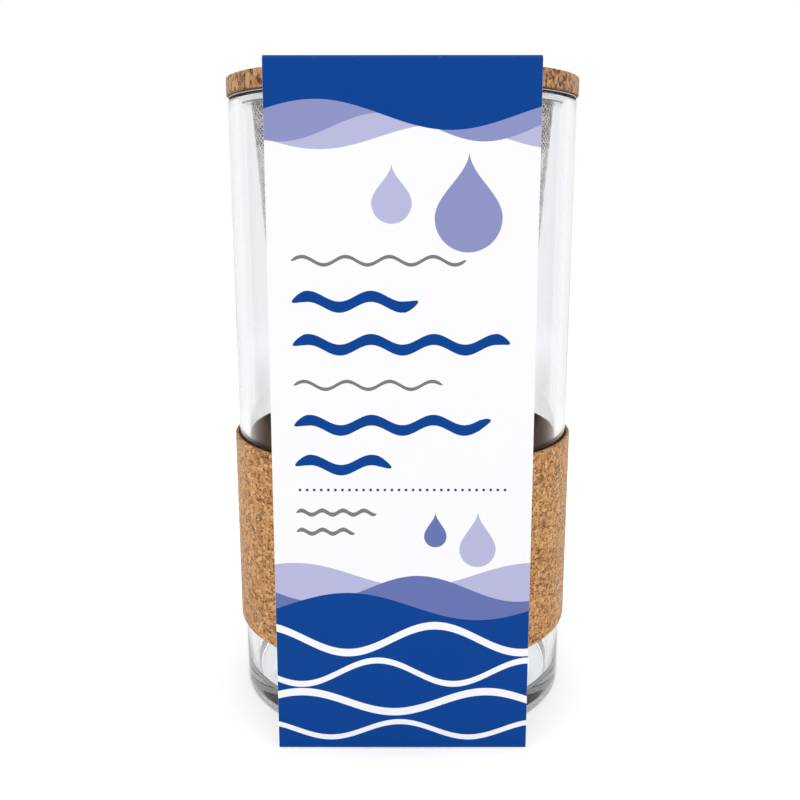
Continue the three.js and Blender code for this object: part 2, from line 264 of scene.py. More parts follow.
class HerbGardenStage(bpy.types.PropertyGroup):
    """Camera, light and floor."""
    camera_y: FloatProperty(
        name="Camera distance", description="Place of the camera along Y", default=-0.27204,
        unit="LENGTH", precision=5)
    camera_z: length("Camera height", "Height of the camera", 0.13132)
    tilt: FloatProperty(
        name="Tilt", description="How far the camera looks down", default=math.radians(11.31),
        unit="ROTATION", subtype="ANGLE")
    lens: FloatProperty(
        name="Lens", description="Focal length of the camera", default=46.1, unit="CAMERA")
    side_power: power("Side lamps", "Power of each side lamp", 0.95)
    back_power: power("Back lamps", "Power of each lamp behind", 0.9)
    top_power: power("Top lamp", "Power of the lamp above", 1.3)
    sky: share("Sky", "Strength of the surrounding light on the pieces", 0.8, 2.0)
    room: share("Room", "How bright the room in front shows in gloss", 0.22)
    room_shade: shade("Room shade", "Floor to the sides as gloss shows it", 162, 137, 124)
    floor: shade("Floor", "Colour of the floor", 246, 246, 247)
    floor_glow: share("Floor white", "How far the floor is lifted towards white in view", 0.34)


class HerbGardenSettings(bpy.types.PropertyGroup):
    """All settings of the herb garden."""
    jar: PointerProperty(type=HerbGardenJar)
    cork: PointerProperty(type=HerbGardenCork)
    pot: PointerProperty(type=HerbGardenPot)
    kit: PointerProperty(type=HerbGardenKit)
    sleeve: PointerProperty(type=HerbGardenSleeve)
    stage: PointerProperty(type=HerbGardenStage)


def in_mm(group, *names):
    """Settings of a group in millimetres."""
    return [getattr(group, name) / MM for name in names]


def box_mm(node):
    """A frame node's low and high corners in millimetres."""
    return [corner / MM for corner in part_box(node)]


# Outlines and solids, all in millimetres

def arc(centre_a, centre_b, radius, start, end, steps):
    """Points of an arc, with its angles in degrees."""
    turns = [math.radians(start + (end - start) * i / steps) for i in range(steps + 1)]
    return [(centre_a + radius * math.cos(t), centre_b + radius * math.sin(t)) for t in turns]


def rounded(corners, closed=True, steps=5):
    """An outline whose corners, given as (a, b, radius), are rounded."""
    outline = []
    count = len(corners)
    for i, (a, b, radius) in enumerate(corners):
        at_end = not closed and i in (0, count - 1)
        if not radius or at_end:
            outline.append((a, b))
            continue
        corner = Vector((a, b))
        before = (Vector(corners[i - 1][:2]) - corner).normalized()
        after = (Vector(corners[(i + 1) % count][:2]) - corner).normalized()
        half = before.angle(after) / 2
        centre = corner + (before + after).normalized() * (radius / math.sin(half))
        first = corner + before * (radius / math.tan(half)) - centre
        last = corner + after * (radius / math.tan(half)) - centre
        for k in range(steps + 1):
            spoke = first.lerp(last, k / steps).normalized() * radius
            outline.append(tuple(centre + spoke))
    return outline


def divided(outline, step, closed=True, long_stretch=math.inf, long_step=1.0):
    """The outline with no stretch longer than step, or than long_step within a long stretch."""
    points = []
    count = len(outline)
    for i, start in enumerate(outline):
        points.append(start)
        if not closed and i == count - 1:
            break
        end = outline[(i + 1) % count]
        reach = math.dist(start, end)
        pieces = max(1, math.ceil(reach / (long_step if reach > long_stretch else step)))
        for k in range(1, pieces):
            points.append(tuple(s + (e - s) * k / pieces for s, e in zip(start, end)))
    return points


def turned(outline, sides, start=0.0, sweep=math.tau, closed=True):
    """An outline of (radius, height) turned round the upright axis.

    If the sweep stops short of a whole turn, its two ends are capped."""
    whole = sweep >= math.tau - 1e-9
    stations = sides if whole else sides + 1
    rows = len(outline)
    points = []
    faces = []
    for k in range(stations):
        angle = start + sweep * k / sides
        points += [(r * math.cos(angle), r * math.sin(angle), z) for r, z in outline]
    for k in range(sides):
        a = k * rows
        b = (k + 1) % stations * rows
        for i in range(rows if closed else rows - 1):
            j = (i + 1) % rows
            faces.append((a + i, b + i, b + j, a + j))
    if not whole:
        faces.append(tuple(range(rows)))
        faces.append(tuple(reversed(range((stations - 1) * rows, stations * rows))))
    return points, faces


def ribbon(path, width, thickness, across, place, nudge=None):
    """A strip that follows a path in a plane and is width wide across it.

    place(a, b, c) turns a path point and a place across it into x, y, z, and nudge(run, c, side)
    moves a point along the strip's own normal."""
    count = len(path)
    runs = [0.0]
    for i in range(1, count):
        runs.append(runs[-1] + math.dist(path[i - 1], path[i]))
    points = []
    for i, (a, b) in enumerate(path):
        ahead = Vector(path[min(i + 1, count - 1)])
        behind = Vector(path[max(i - 1, 0)])
        along = (ahead - behind).normalized()
        normal = Vector((-along.y, along.x))
        for side in (1, -1):
            for k in range(across + 1):
                c = (k / across - 0.5) * width * side
                offset = side * thickness / 2
                if nudge:
                    offset += nudge(runs[i], c, side)
                spot = Vector((a, b)) + normal * offset
                points.append(place(spot.x, spot.y, c))
    loop = 2 * (across + 1)
    faces = []
    for i in range(count - 1):
        for k in range(loop):
            n = (k + 1) % loop
            faces.append((i * loop + k, i * loop + n, (i + 1) * loop + n, (i + 1) * loop + k))
    for end in (0, (count - 1) * loop):
        for k in range(across):
            faces.append((end + k, end + k + 1, end + loop - 2 - k, end + loop - 1 - k))
    return points, faces


def lattice(columns, rows, strand, tilt, spot, wraps=True, keep=None):
    """A diamond mesh with thickness: each diamond is a frame of four strands round its hole.

    spot(u, v, depth) places half column u and half row v, depth 0 outside and 1 inside. A strand
    is thickest along its middle, like a wire. strand is the share of a half diamond that the metal
    takes, and tilt leans the strands as when a slit sheet is pulled open."""
    points = []
    knots = {}
    edges = {}
    faces = []
    around = 2 * columns

    def knot(i, j):
        key = (i % around if wraps else i, j)
        if key not in knots:
            knots[key] = len(points)
            points.extend((spot(i, j, 0), spot(i, j, 1)))
        return knots[key]

    def hole_corner(u, v, lean):
        points.append(spot(u, v, 0.5 + lean))
        return len(points) - 1

    hole = 1 - strand
    for j in range(1, rows):
        for i in range(around):
            if (i + j) % 2 == 0 or (keep and not keep(i, j)):
                continue
            outer = [knot(i - 1, j), knot(i, j - 1), knot(i + 1, j), knot(i, j + 1)]
            inner = [
                hole_corner(i - hole, j, 0), hole_corner(i, j - hole, -tilt),
                hole_corner(i + hole, j, 0), hole_corner(i, j + hole, tilt)]
            for k in range(4):
                n = (k + 1) % 4
                a, b, c, d = outer[k], outer[n], inner[n], inner[k]
                faces.append((a, b, c, d))
                faces.append((d, c, b + 1, a + 1))
                edge = (min(a, b), max(a, b))
                edges[edge] = None if edge in edges else (a, b)
    for a, b in filter(None, edges.values()):
        faces.append((b, a, a + 1, b + 1))
    return points, faces


def two_sheets(columns, rows, spot):
    """Two sheets of one grid, joined all round.

    spot(sheet, i, j) places a point of sheet 0 or 1."""
    points = [
        spot(sheet, i, j)
        for sheet in (0, 1) for j in range(rows + 1) for i in range(columns + 1)]
    stride = columns + 1
    back = stride * (rows + 1)
    faces = []
    for j in range(rows):
        for i in range(columns):
            a = j * stride + i
            faces.append((a, a + 1, a + stride + 1, a + stride))
            faces.append((back + a + stride, back + a + stride + 1, back + a + 1, back + a))
    rim = list(range(columns)) + [j * stride + columns for j in range(rows)]
    rim += [rows * stride + i for i in range(columns, 0, -1)]
    rim += [j * stride for j in range(rows, 0, -1)]
    for k, a in enumerate(rim):
        b = rim[(k + 1) % len(rim)]
        faces.append((b, a, back + a, back + b))
    return points, faces


def swelling(u, v, seal, hem=0.04):
    """How far a pouch swells at u across and v up it, both -1 to 1.

    seal and hem are the flat shares at its ends and along its sides."""
    across = math.cos(math.pi / 2 * min(1.0, abs(u) / (1 - hem)))
    upright = math.cos(math.pi / 2 * min(1.0, abs(v) / (1 - seal)))
    return math.sqrt(max(0.0, across * upright))


def pouch(width, height, edge, bulge, columns, rows, seal, ripple, notch=0.0, tooth=1.0):
    """A flat pouch standing on its lower edge, swelling from edge to edge + bulge at its middle.

    seal is the flat share at the ends, ripple(x, z) moves both sheets together, and notch and
    tooth are the depth and width of the teeth along the cut ends."""
    def spot(sheet, i, j):
        u = 2 * i / columns - 1
        v = 2 * j / rows - 1
        x = u * width / 2
        z = (v + 1) * height / 2
        half = (edge + bulge * swelling(u, v, seal)) / 2
        y = (half if sheet else -half) + ripple(x, z)
        if notch and j in (0, rows):
            z -= math.copysign(notch * abs(2 * ((x / tooth) % 1) - 1), v)
        return x, y, z

    return two_sheets(columns, rows, spot)


def lifted(solid, y, z):
    """A solid moved along y and z."""
    points, faces = solid
    return [(a, b + y, c + z) for a, b, c in points], faces


def fibres(count, seed, path_of):
    """Thin tapered fibres; path_of(draw) gives one fibre's points and its radius."""
    draw = random.Random(seed)
    points = []
    faces = []
    for _ in range(count):
        path, radius = path_of(draw)
        first = len(points)
        last = len(path) - 1
        for k, spot in enumerate(path):
            along = (path[min(k + 1, last)] - path[max(k - 1, 0)]).normalized()
            aside = along.orthogonal().normalized()
            third = along.cross(aside)
            thin = radius * (0.35 + 0.65 * math.sin(math.pi * (k + 0.5) / (last + 1)))
            for turn in range(3):
                angle = math.tau * turn / 3
                spoke = aside * math.cos(angle) + third * math.sin(angle)
                points.append(tuple(spot + spoke * thin))
        for k in range(last):
            for turn in range(3):
                a = first + 3 * k
                n = (turn + 1) % 3
                faces.append((a + turn, a + n, a + 3 + n, a + 3 + turn))
        end = first + 3 * last
        faces.append((first + 2, first + 1, first))
        faces.append((end, end + 1, end + 2))
    return points, faces


def joined(*solids):
    """Several solids as one set of points and faces."""
    points = []
    faces = []
    for more_points, more_faces in solids:
        base = len(points)
        points += more_points
        faces += [tuple(base + k for k in face) for face in more_faces]
    return points, faces


def make_piece(name, solid, material, node, sharp=38.0):
    """A named piece that stands for a frame node and moves with the node's body."""
    points, faces = solid
    mesh = bpy.data.meshes.new(name)
    mesh.from_pydata([Vector(p) * MM for p in points], [], faces)
    work = bmesh.new()
    work.from_mesh(mesh)
    bmesh.ops.remove_doubles(work, verts=work.verts, dist=1e-8)
    bmesh.ops.recalc_face_normals(work, faces=work.faces)
    work.to_mesh(mesh)
    work.free()
    mesh.materials.append(material)
    mesh.shade_smooth()
    mesh.set_sharp_from_angle(angle=math.radians(sharp))
    made = bpy.data.objects.new(name, mesh)
    bpy.context.scene.collection.objects.link(made)
    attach(made, frame["nodes"][node]["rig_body"])
    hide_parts(node)
    return made


def sink(made, depth):
    """Sinks a piece's surface by depth(point), with both in millimetres."""
    mesh = made.data
    moves = [depth(vertex.co / MM) for vertex in mesh.vertices]
    normals = [vertex.normal.copy() for vertex in mesh.vertices]
    for vertex, normal, move in zip(mesh.vertices, normals, moves):
        vertex.co -= normal * (move * MM)
    mesh.update()


def cork_pits(grain, depth, seed):
    """How far cork is sunk at a point: low joints between granules and a few deeper pits."""
    shift = Vector((seed * 7.3, seed * 3.1, seed * 5.7))
    joint_share, pit_share, crumb_share = 0.4, 0.75, 0.12
    joint_steepness, pit_steepness = 2.6, 2.0
    pit_chance = 0.28

    def at(point):
        spot = point / grain + shift
        distances, seeds = noise.voronoi(spot)
        joint = max(0.0, 1 - (distances[1] - distances[0]) * joint_steepness)
        pitted = noise.cell(seeds[0] * 3.7) > 1 - pit_chance
        pit = max(0.0, 1 - distances[0] * pit_steepness) if pitted else 0.0
        crumb = 1 + noise.noise(spot * 2.3)
        return depth * (joint_share * joint + pit_share * pit + crumb_share * crumb)

    return at


# Shader nodes

class Field:
    """A value over a surface; sums and comparisons of Fields add Math nodes."""

    def __init__(self, tree, socket):
        self.tree = tree
        self.socket = socket

    def step(self, operation, *others):
        node = self.tree.nodes.new("ShaderNodeMath")
        node.operation = operation
        for slot, value in zip(node.inputs, (self, *others)):
            join(slot, value)
        return Field(self.tree, node.outputs[0])

    def __add__(self, other):
        return self.step("ADD", other)

    def __sub__(self, other):
        return self.step("SUBTRACT", other)

    def __rsub__(self, other):
        return self.step("MULTIPLY", -1.0).step("ADD", other)

    def __mul__(self, other):
        return self.step("MULTIPLY", other)

    def __truediv__(self, other):
        return self.step("DIVIDE", other)

    def __abs__(self):
        return self.step("ABSOLUTE")

    def __lt__(self, other):
        return self.step("LESS_THAN", other)

    def __gt__(self, other):
        return self.step("GREATER_THAN", other)

    def __or__(self, other):
        return self.step("MAXIMUM", other)

    def __and__(self, other):
        return self.step("MINIMUM", other)

    def ramp(self, low, high):
        """0 below low, 1 above high and smooth between them."""
        node = self.tree.nodes.new("ShaderNodeMapRange")
        node.interpolation_type = "SMOOTHSTEP"
        join(node.inputs["Value"], self)
        join(node.inputs["From Min"], low)
        join(node.inputs["From Max"], high)
        return Field(self.tree, node.outputs["Result"])


def join(slot, value):
    """Links a Field or an outlet to a node's inlet, or sets the inlet to a constant."""
    if isinstance(value, Field):
        value = value.socket
    if isinstance(value, bpy.types.NodeSocket):
        slot.id_data.links.new(value, slot)
    elif slot.type == "RGBA" and len(value) == 3:
        slot.default_value = (*value, 1)
    else:
        slot.default_value = value


def finish(node, **inlets):
    """Sets a node's inlets by name; an underscore stands for a space."""
    for key, value in inlets.items():
        join(node.inputs[key.replace("_", " ")], value)


def add(tree, kind, settings=None, **inlets):
    """A new shader node with its settings and inlets."""
    node = tree.nodes.new("ShaderNode" + kind)
    for key, value in (settings or {}).items():
        setattr(node, key, value)
    finish(node, **inlets)
    return node


def mixed(tree, factor, below, above):
    """One colour over another by a factor."""
    node = tree.nodes.new("ShaderNodeMix")
    node.data_type = "RGBA"
    join(node.inputs[0], factor)
    join(node.inputs[6], below)
    join(node.inputs[7], above)
    return node.outputs[2]


def toned(tree, colour, factor):
    """A colour or a vector times a value."""
    node = add(tree, "VectorMath", {"operation": "SCALE"})
    join(node.inputs[0], colour)
    join(node.inputs["Scale"], factor)
    return node.outputs[0]


def speckle(tree, vector, scale, detail=3.0, roughness=0.55):
    """Noise as a Field."""
    node = add(tree, "TexNoise", Vector=vector, Scale=scale, Detail=detail, Roughness=roughness)
    return Field(tree, node.outputs[0])


def stretched(tree, vector, by):
    """Coordinates multiplied axis by axis."""
    node = add(tree, "VectorMath", {"operation": "MULTIPLY"})
    join(node.inputs[0], vector)
    join(node.inputs[1], by)
    return node.outputs[0]


def cell_edge(tree, vector, scale):
    """How far a point lies from the edge of its cell, as a Field."""
    node = add(tree, "TexVoronoi", {"feature": "DISTANCE_TO_EDGE"}, Vector=vector, Scale=scale)
    return Field(tree, node.outputs["Distance"])


def split(tree, vector):
    """The three parts of a vector as Fields."""
    node = add(tree, "SeparateXYZ", Vector=vector)
    return [Field(tree, outlet) for outlet in node.outputs]


def split_mm(tree, vector):
    """The three parts of a vector as Fields, in millimetres."""
    return [part / MM for part in split(tree, vector)]


def span(a, b):
    """The length that two parts at right angles make, as a Field."""
    return (a * a + b * b).step("SQRT")


def surface(name):
    """A new material, its node tree, its main shader and its own coordinates."""
    material = bpy.data.materials.new(name)
    material.use_nodes = True
    tree = material.node_tree
    shader = tree.nodes["Principled BSDF"]
    spot = add(tree, "TexCoord").outputs["Object"]
    return material, tree, shader, spot


def relief(tree, height, depth, strength=1.0):
    """A bumped normal from a height Field, with its depth in millimetres."""
    node = add(tree, "Bump", Strength=strength, Distance=depth * MM, Height=height)
    return node.outputs["Normal"]


def new_group(name, inlets, outlets):
    """A node group with named inlets and outlets."""
    tree = bpy.data.node_groups.new(name, "ShaderNodeTree")
    for label, kind, value in inlets:
        socket = tree.interface.new_socket(
            name=label, in_out="INPUT", socket_type="NodeSocket" + kind)
        if value is not None:
            socket.default_value = value
    for label, kind in outlets:
        tree.interface.new_socket(name=label, in_out="OUTPUT", socket_type="NodeSocket" + kind)
    source = tree.nodes.new("NodeGroupInput").outputs
    result = tree.nodes.new("NodeGroupOutput").inputs
    return tree, source, result


def place_group(tree, make, **inlets):
    """Places a group in a material, making it the first time, and returns its outlets."""
    group = bpy.data.node_groups.get(make.__name__) or make(make.__name__)
    node = tree.nodes.new("ShaderNodeGroup")
    node.node_tree = group
    for key, value in inlets.items():
        join(node.inputs[key], value)
    return node.outputs


def cork_grain(name):
    """Pressed cork: granules of several browns, dark specks, joints and upright fissures."""
    tree, source, result = new_group(
        name,
        [("Vector", "Vector", None), ("Grain", "Float", 0.001), ("Specks", "Float", 0.2),
         ("Fissures", "Float", 0.0), ("Joints", "Float", 0.5), ("Light", "Color", None),
         ("Body", "Color", None), ("Dark", "Color", None)],
        [("Color", "Color"), ("Height", "Float")])
    even = toned(tree, source["Vector"], Field(tree, source["Grain"]).step("POWER", -1.0))
    wander = add(tree, "TexNoise", Vector=even, Scale=1.7, Detail=3.0)
    sway = add(tree, "VectorMath", {"operation": "MULTIPLY_ADD"})
    join(sway.inputs[0], wander.outputs["Color"])
    join(sway.inputs[1], (0.8, 0.8, 0.8))
    join(sway.inputs[2], even)
    spot = sway.outputs[0]

    # Granules, their joints and the finest grain
    cells = add(tree, "TexVoronoi", Vector=spot, Scale=1.0)
    paleness, umberness, rise = split(tree, cells.outputs["Color"])
    edge = cell_edge(tree, spot, 1.0)
    open_joint = speckle(tree, even, scale=0.8, detail=2.0).ramp(0.44, 0.6) * 0.88 + 0.12
    joint = (1.0 - edge.ramp(0.0, 0.24)) * open_joint * source["Joints"]
    fine = speckle(tree, spot, scale=5.5, detail=4.0, roughness=0.65)

    # Dark specks and light ones
    small = add(tree, "TexVoronoi", Vector=spot, Scale=1.12)
    dark_chance, light_chance, _ = split(tree, small.outputs["Color"])
    core = 1.0 - Field(tree, small.outputs["Distance"]).ramp(0.16, 0.46)
    speck = (dark_chance > 1.0 - Field(tree, source["Specks"])) * core
    gleam = (light_chance > 0.82) * core

    # Upright fissures, where the cork is torn
    torn = (speckle(tree, even, scale=0.9) + source["Fissures"]).ramp(0.95, 1.05)
    long_edge = cell_edge(tree, stretched(tree, spot, (1.0, 1.0, 0.4)), 1.2)
    crack = (1.0 - long_edge.ramp(0.04, 0.21)) * torn

    tint = source["Body"]
    layers = (
        (paleness.ramp(0.45, 0.8) * 0.8, "Light"), (umberness.ramp(0.72, 0.9) * 0.4, "Dark"),
        (joint, "Dark"), (gleam * 0.9, "Light"), (speck * 0.92, "Dark"), (crack * 0.86, "Dark"))
    for cover, colour in layers:
        tint = mixed(tree, cover, tint, source[colour])
    join(result["Color"], toned(tree, tint, fine * 0.5 + 0.76))
    height = edge.ramp(0.0, 0.25) * 0.6 + rise * 0.35 + fine * 0.3 - speck * 0.55 - crack
    join(result["Height"], height)
    return tree


def paper_fibre(name):
    """Paper and card: soft clouds and fine fibres that change tone and height a little."""
    tree, source, result = new_group(
        name,
        [("Vector", "Vector", None), ("Fibre", "Float", 0.3)],
        [("Tone", "Float"), ("Height", "Float")])
    cloud = speckle(tree, source["Vector"], scale=220.0, detail=2.0)
    upright = stretched(tree, source["Vector"], (1.0, 1.0, 0.35))
    strands = speckle(tree, upright, scale=3800.0, detail=3.0, roughness=0.7)
    fleck = speckle(tree, source["Vector"], scale=1500.0, detail=4.0, roughness=0.7)
    amount = Field(tree, source["Fibre"])
    tone = (cloud - 0.5) * 0.12 + (strands - 0.5) * 0.3 - fleck.ramp(0.62, 0.75) * 0.12
    join(result["Tone"], tone * amount + 1.0)
    join(result["Height"], strands * 0.7 + cloud * 0.3)
    return tree


def steel_grain(name):
    """Rolled steel: fine lines round the axis and soft dull patches."""
    tree, source, result = new_group(
        name,
        [("Vector", "Vector", None)],
        [("Tone", "Float"), ("Roughness", "Float"), ("Height", "Float")])
    level = stretched(tree, source["Vector"], (60.0, 60.0, 5200.0))
    lines = speckle(tree, level, scale=1.0, detail=3.0, roughness=0.6)
    patch = speckle(tree, source["Vector"], scale=260.0)
    join(result["Tone"], (patch - 0.5) * 0.26 + (lines - 0.5) * 0.16 + 1.0)
    join(result["Roughness"], patch * 0.2 + lines * 0.12 + 0.14)
    join(result["Height"], lines)
    return tree


def film_creases(name):
    """Packing film: sharp upright creases and soft dents."""
    tree, source, result = new_group(
        name,
        [("Vector", "Vector", None)],
        [("Height", "Float"), ("Roughness", "Float"), ("Tone", "Float")])
    upright = stretched(tree, source["Vector"], (1.0, 1.0, 0.45))
    crease = 1.0 - cell_edge(tree, upright, 150.0).ramp(0.0, 0.16)
    dent = speckle(tree, upright, scale=210.0)
    join(result["Height"], crease * 0.6 + dent)
    join(result["Roughness"], dent * 0.2 + crease * 0.12 + 0.16)
    join(result["Tone"], (dent - 0.5) * 0.2 - crease * 0.06 + 1.0)
    return tree


def matted_fibre(name):
    """Felt and coir: crossed fibres that change tone and height."""
    tree, source, result = new_group(
        name,
        [("Vector", "Vector", None), ("Scale", "Float", 1000.0)],
        [("Tone", "Float"), ("Height", "Float")])
    scale = Field(tree, source["Scale"])
    first, second = (
        speckle(tree, stretched(tree, source["Vector"], squeeze), scale, roughness=0.7)
        for squeeze in ((1.0, 0.25, 0.6), (0.25, 1.0, 0.3)))
    cross = first | second
    join(result["Tone"], (cross - 0.5) * 1.1 + 0.95)
    join(result["Height"], cross)
    return tree


# Materials

def clear_glass(jar):
    """Clear glass with a faint waviness from the mould and a grey-blue tint in its depth."""
    material, tree, shader, spot = surface("clear_glass")
    upright = stretched(tree, spot, (1.0, 1.0, 0.35))
    wave = speckle(tree, upright, scale=95.0, detail=1.0)
    finish(
        shader, Base_Color=jar.sheen, Roughness=0.0, IOR=1.5, Transmission_Weight=1.0,
        Normal=relief(tree, wave, depth=0.05, strength=0.35))
    depth = add(tree, "VolumeAbsorption", Color=jar.tint, Density=jar.density)
    join(tree.nodes["Material Output"].inputs["Volume"], depth.outputs[0])
    return material


def cork(name, grain, flaws, light, body, dark, depth, squash=1.0, underside_shade=None):
    """Pressed cork with a dull, dry surface.

    flaws are the shares of specks, fissures and open joints; squash makes the granules lower than
    they are wide, and the last argument gives the radius and height of a lower outer edge painted
    darker as shade."""
    material, tree, shader, spot = surface(name)
    specks, fissures, joints = flaws
    grains = place_group(
        tree, cork_grain, Vector=stretched(tree, spot, (1.0, 1.0, squash)), Grain=grain,
        Specks=specks, Fissures=fissures, Joints=joints, Light=light, Body=body, Dark=dark)
    tint = grains["Color"]
    # Painted shade: the lid's underside near its outer edge is darkened where it sits on the rim
    if underside_shade:
        radius, height = underside_shade
        x, y, z = split(tree, spot)
        outer = span(x, y).ramp(radius - 2.2 * MM, radius - 0.8 * MM)
        lower = 1.0 - z.ramp(height - 0.05 * MM, height + 0.15 * MM)
        tint = toned(tree, tint, 1.0 - outer * lower * 0.75)
    finish(
        shader, Base_Color=tint, Roughness=0.85, Specular_IOR_Level=0.06, Sheen_Weight=0.8,
        Sheen_Roughness=0.25, Sheen_Tint=(1.0, 0.84, 0.68),
        Normal=relief(tree, grains["Height"], depth=depth, strength=0.8))
    return material


def adhesive_film(colour):
    """Dark film with small trapped bubbles."""
    material, tree, shader, spot = surface("adhesive_film")
    bubble = add(tree, "TexVoronoi", Vector=spot, Scale=620.0)
    blister = 1.0 - Field(tree, bubble.outputs["Distance"]).ramp(0.1, 0.3)
    cloud = speckle(tree, spot, scale=130.0)
    finish(
        shader, Base_Color=toned(tree, colour, cloud * 0.5 + 0.75), Roughness=cloud * 0.2 + 0.5,
        Specular_IOR_Level=0.0, Normal=relief(tree, blister, depth=0.02, strength=0.5))
    return material


def steel(name, colour, edges):
    """Stainless steel with rolling marks, and painted shade as dull, dark lines along edges given
    by radius and height.
    """
    material, tree, shader, spot = surface(name)
    grain = place_group(tree, steel_grain, Vector=spot)
    x, y, z = split(tree, spot)
    reach = span(x, y)
    # Painted shade: thin lines along each given edge are darkened, as shade under the shoulder and
    # along the flange
    unshaded_parts = []
    for radius, height in edges:
        beside = abs(reach - radius).ramp(0.4 * MM, 0.7 * MM)
        above = abs(z - height).ramp(0.2 * MM, 0.36 * MM)
        unshaded_parts.append(beside | above)
    unshaded = unshaded_parts[0]
    for other in unshaded_parts[1:]:
        unshaded = unshaded & other
    deepest_shade = 0.06
    tint = toned(tree, colour, unshaded * (1 - deepest_shade) + deepest_shade)
    finish(
        shader, Base_Color=toned(tree, tint, grain["Tone"]), Metallic=1.0,
        Roughness=(1.0 - unshaded) * 0.3 + Field(tree, grain["Roughness"]),
        Normal=relief(tree, grain["Height"], depth=0.01, strength=0.4))
    return material


def mesh_steel(pot):
    """Steel mesh with painted light: lit outward ridges, gap edges and inward faces in painted
    shade, and painted shade near the rim.
    """
    material, tree, shader, spot = surface("steel_mesh")
    grain = place_group(tree, steel_grain, Vector=spot)
    normal_x, normal_y, _ = split(tree, add(tree, "NewGeometry").outputs["True Normal"])
    x, y, z = split(tree, spot)
    reach = span(x, y) | MM
    depth = (z - pot.mesh_top) * pot.mesh_taper + pot.mesh_radius - reach
    above_disc = (z - pot.mesh_foot).ramp(MM, 2 * MM)
    gap_edge = depth.ramp(0.15 * pot.sheet, 0.42 * pot.sheet) * above_disc
    # Painted light and shade: faces turned outwards take the lit colour, inward faces and gap
    # edges the shaded one
    outer = ((normal_x * x + normal_y * y) / reach).ramp(0.0, 0.5) * (1.0 - gap_edge)
    # Painted shade: the mesh within about a centimetre of the rim is darker, as shade under the
    # lid
    unshaded = (pot.mesh_top - z).ramp(7 * MM, 13 * MM)
    tint = mixed(
        tree, outer, mixed(tree, unshaded, pot.mesh_dark, pot.mesh_inner),
        mixed(tree, unshaded, pot.mesh_dull, pot.mesh))
    wide_spots = stretched(tree, spot, (0.3, 0.3, 1.0))
    uneven = speckle(tree, wide_spots, scale=0.9 / MM, detail=1.0).ramp(0.36, 0.6)
    # The random mottle is deeper near the rim, which paints more shade there
    shaded_mottle, unshaded_mottle = 0.74, 0.32
    sheen = (uneven - 1.0) * (shaded_mottle - unshaded * (shaded_mottle - unshaded_mottle)) + 1.0
    finish(
        shader, Base_Color=toned(tree, tint, sheen * grain["Tone"]), Metallic=1.0,
        Roughness=(1.0 - outer) * 0.3 + Field(tree, grain["Roughness"]),
        Normal=relief(tree, grain["Height"], depth=0.01, strength=0.4))
    return material


def matted(name, colour, light, scale, depth, sheen):
    """A matted fibre, with light fibres among the main colour."""
    material, tree, shader, spot = surface(name)
    fibre = place_group(tree, matted_fibre, Vector=spot, Scale=scale)
    patch = speckle(tree, spot, scale=scale * 0.35, detail=2.0).ramp(0.3, 0.7)
    tint = mixed(tree, Field(tree, fibre["Height"]).ramp(0.56, 0.72) * patch, colour, light)
    finish(
        shader, Base_Color=toned(tree, tint, fibre["Tone"]), Roughness=0.95,
        Specular_IOR_Level=0.2, Sheen_Weight=sheen, Sheen_Roughness=0.6,
        Normal=relief(tree, fibre["Height"], depth=depth, strength=0.8))
    return material


def dot_row(x, z, height, pitch, radius):
    """A row of round dots."""
    column = x.step("FLOORED_MODULO", pitch) - pitch / 2
    row = z - height
    return (column * column + row * row) < radius * radius


def seed_paper(name, paper, band, foot, top):
    """Kraft paper with a printed band, two fine rules and a row of dots."""
    material, tree, shader, spot = surface(name)
    fibre = place_group(tree, paper_fibre, Vector=spot, Fibre=1.0)
    x, _, z = split_mm(tree, spot)
    band_low = foot + 0.3 * (top - foot)
    band_high = foot + 0.55 * (top - foot)
    rule_gap, rule_half = 1.6, 0.25
    inside = (z > band_low) * (z < band_high)
    lower_rule = abs(z - (band_low - rule_gap)) < rule_half
    upper_rule = abs(z - (band_high + rule_gap)) < rule_half
    ink = mixed(tree, (inside | lower_rule | upper_rule) * 0.92, paper, band)
    dot_pitch, dot_radius = 3.0, 0.7874
    dots = dot_row(x, z, (band_low + band_high) / 2, dot_pitch, dot_radius)
    ink = mixed(tree, dots, ink, paper)
    finish(
        shader, Base_Color=toned(tree, ink, fibre["Tone"]), Roughness=0.84,
        Specular_IOR_Level=0.3, Normal=relief(tree, fibre["Height"], depth=0.05, strength=0.7))
    return material


def packing_film(name, colour, metallic, label, middle):
    """Creased packing film with a plain framed field for a label, centred on the middle height."""
    material, tree, shader, spot = surface(name)
    crease = place_group(tree, film_creases, Vector=spot)
    x, _, z = split_mm(tree, spot)
    half_width, half_height, line = 13.0, 8.0, 1.0
    field = (abs(x) < half_width) * (abs(z - middle) < half_height)
    inside = (abs(x) < half_width - line) * (abs(z - middle) < half_height - line)
    tint = mixed(tree, (field - inside * 0.75) * 0.8, colour, label)
    finish(
        shader, Base_Color=toned(tree, tint, crease["Tone"]), Metallic=metallic,
        Roughness=Field(tree, crease["Roughness"]) + 0.06, Coat_Weight=0.2, Coat_Roughness=0.12,
        Normal=relief(tree, crease["Height"], depth=0.18, strength=0.7))
    return material


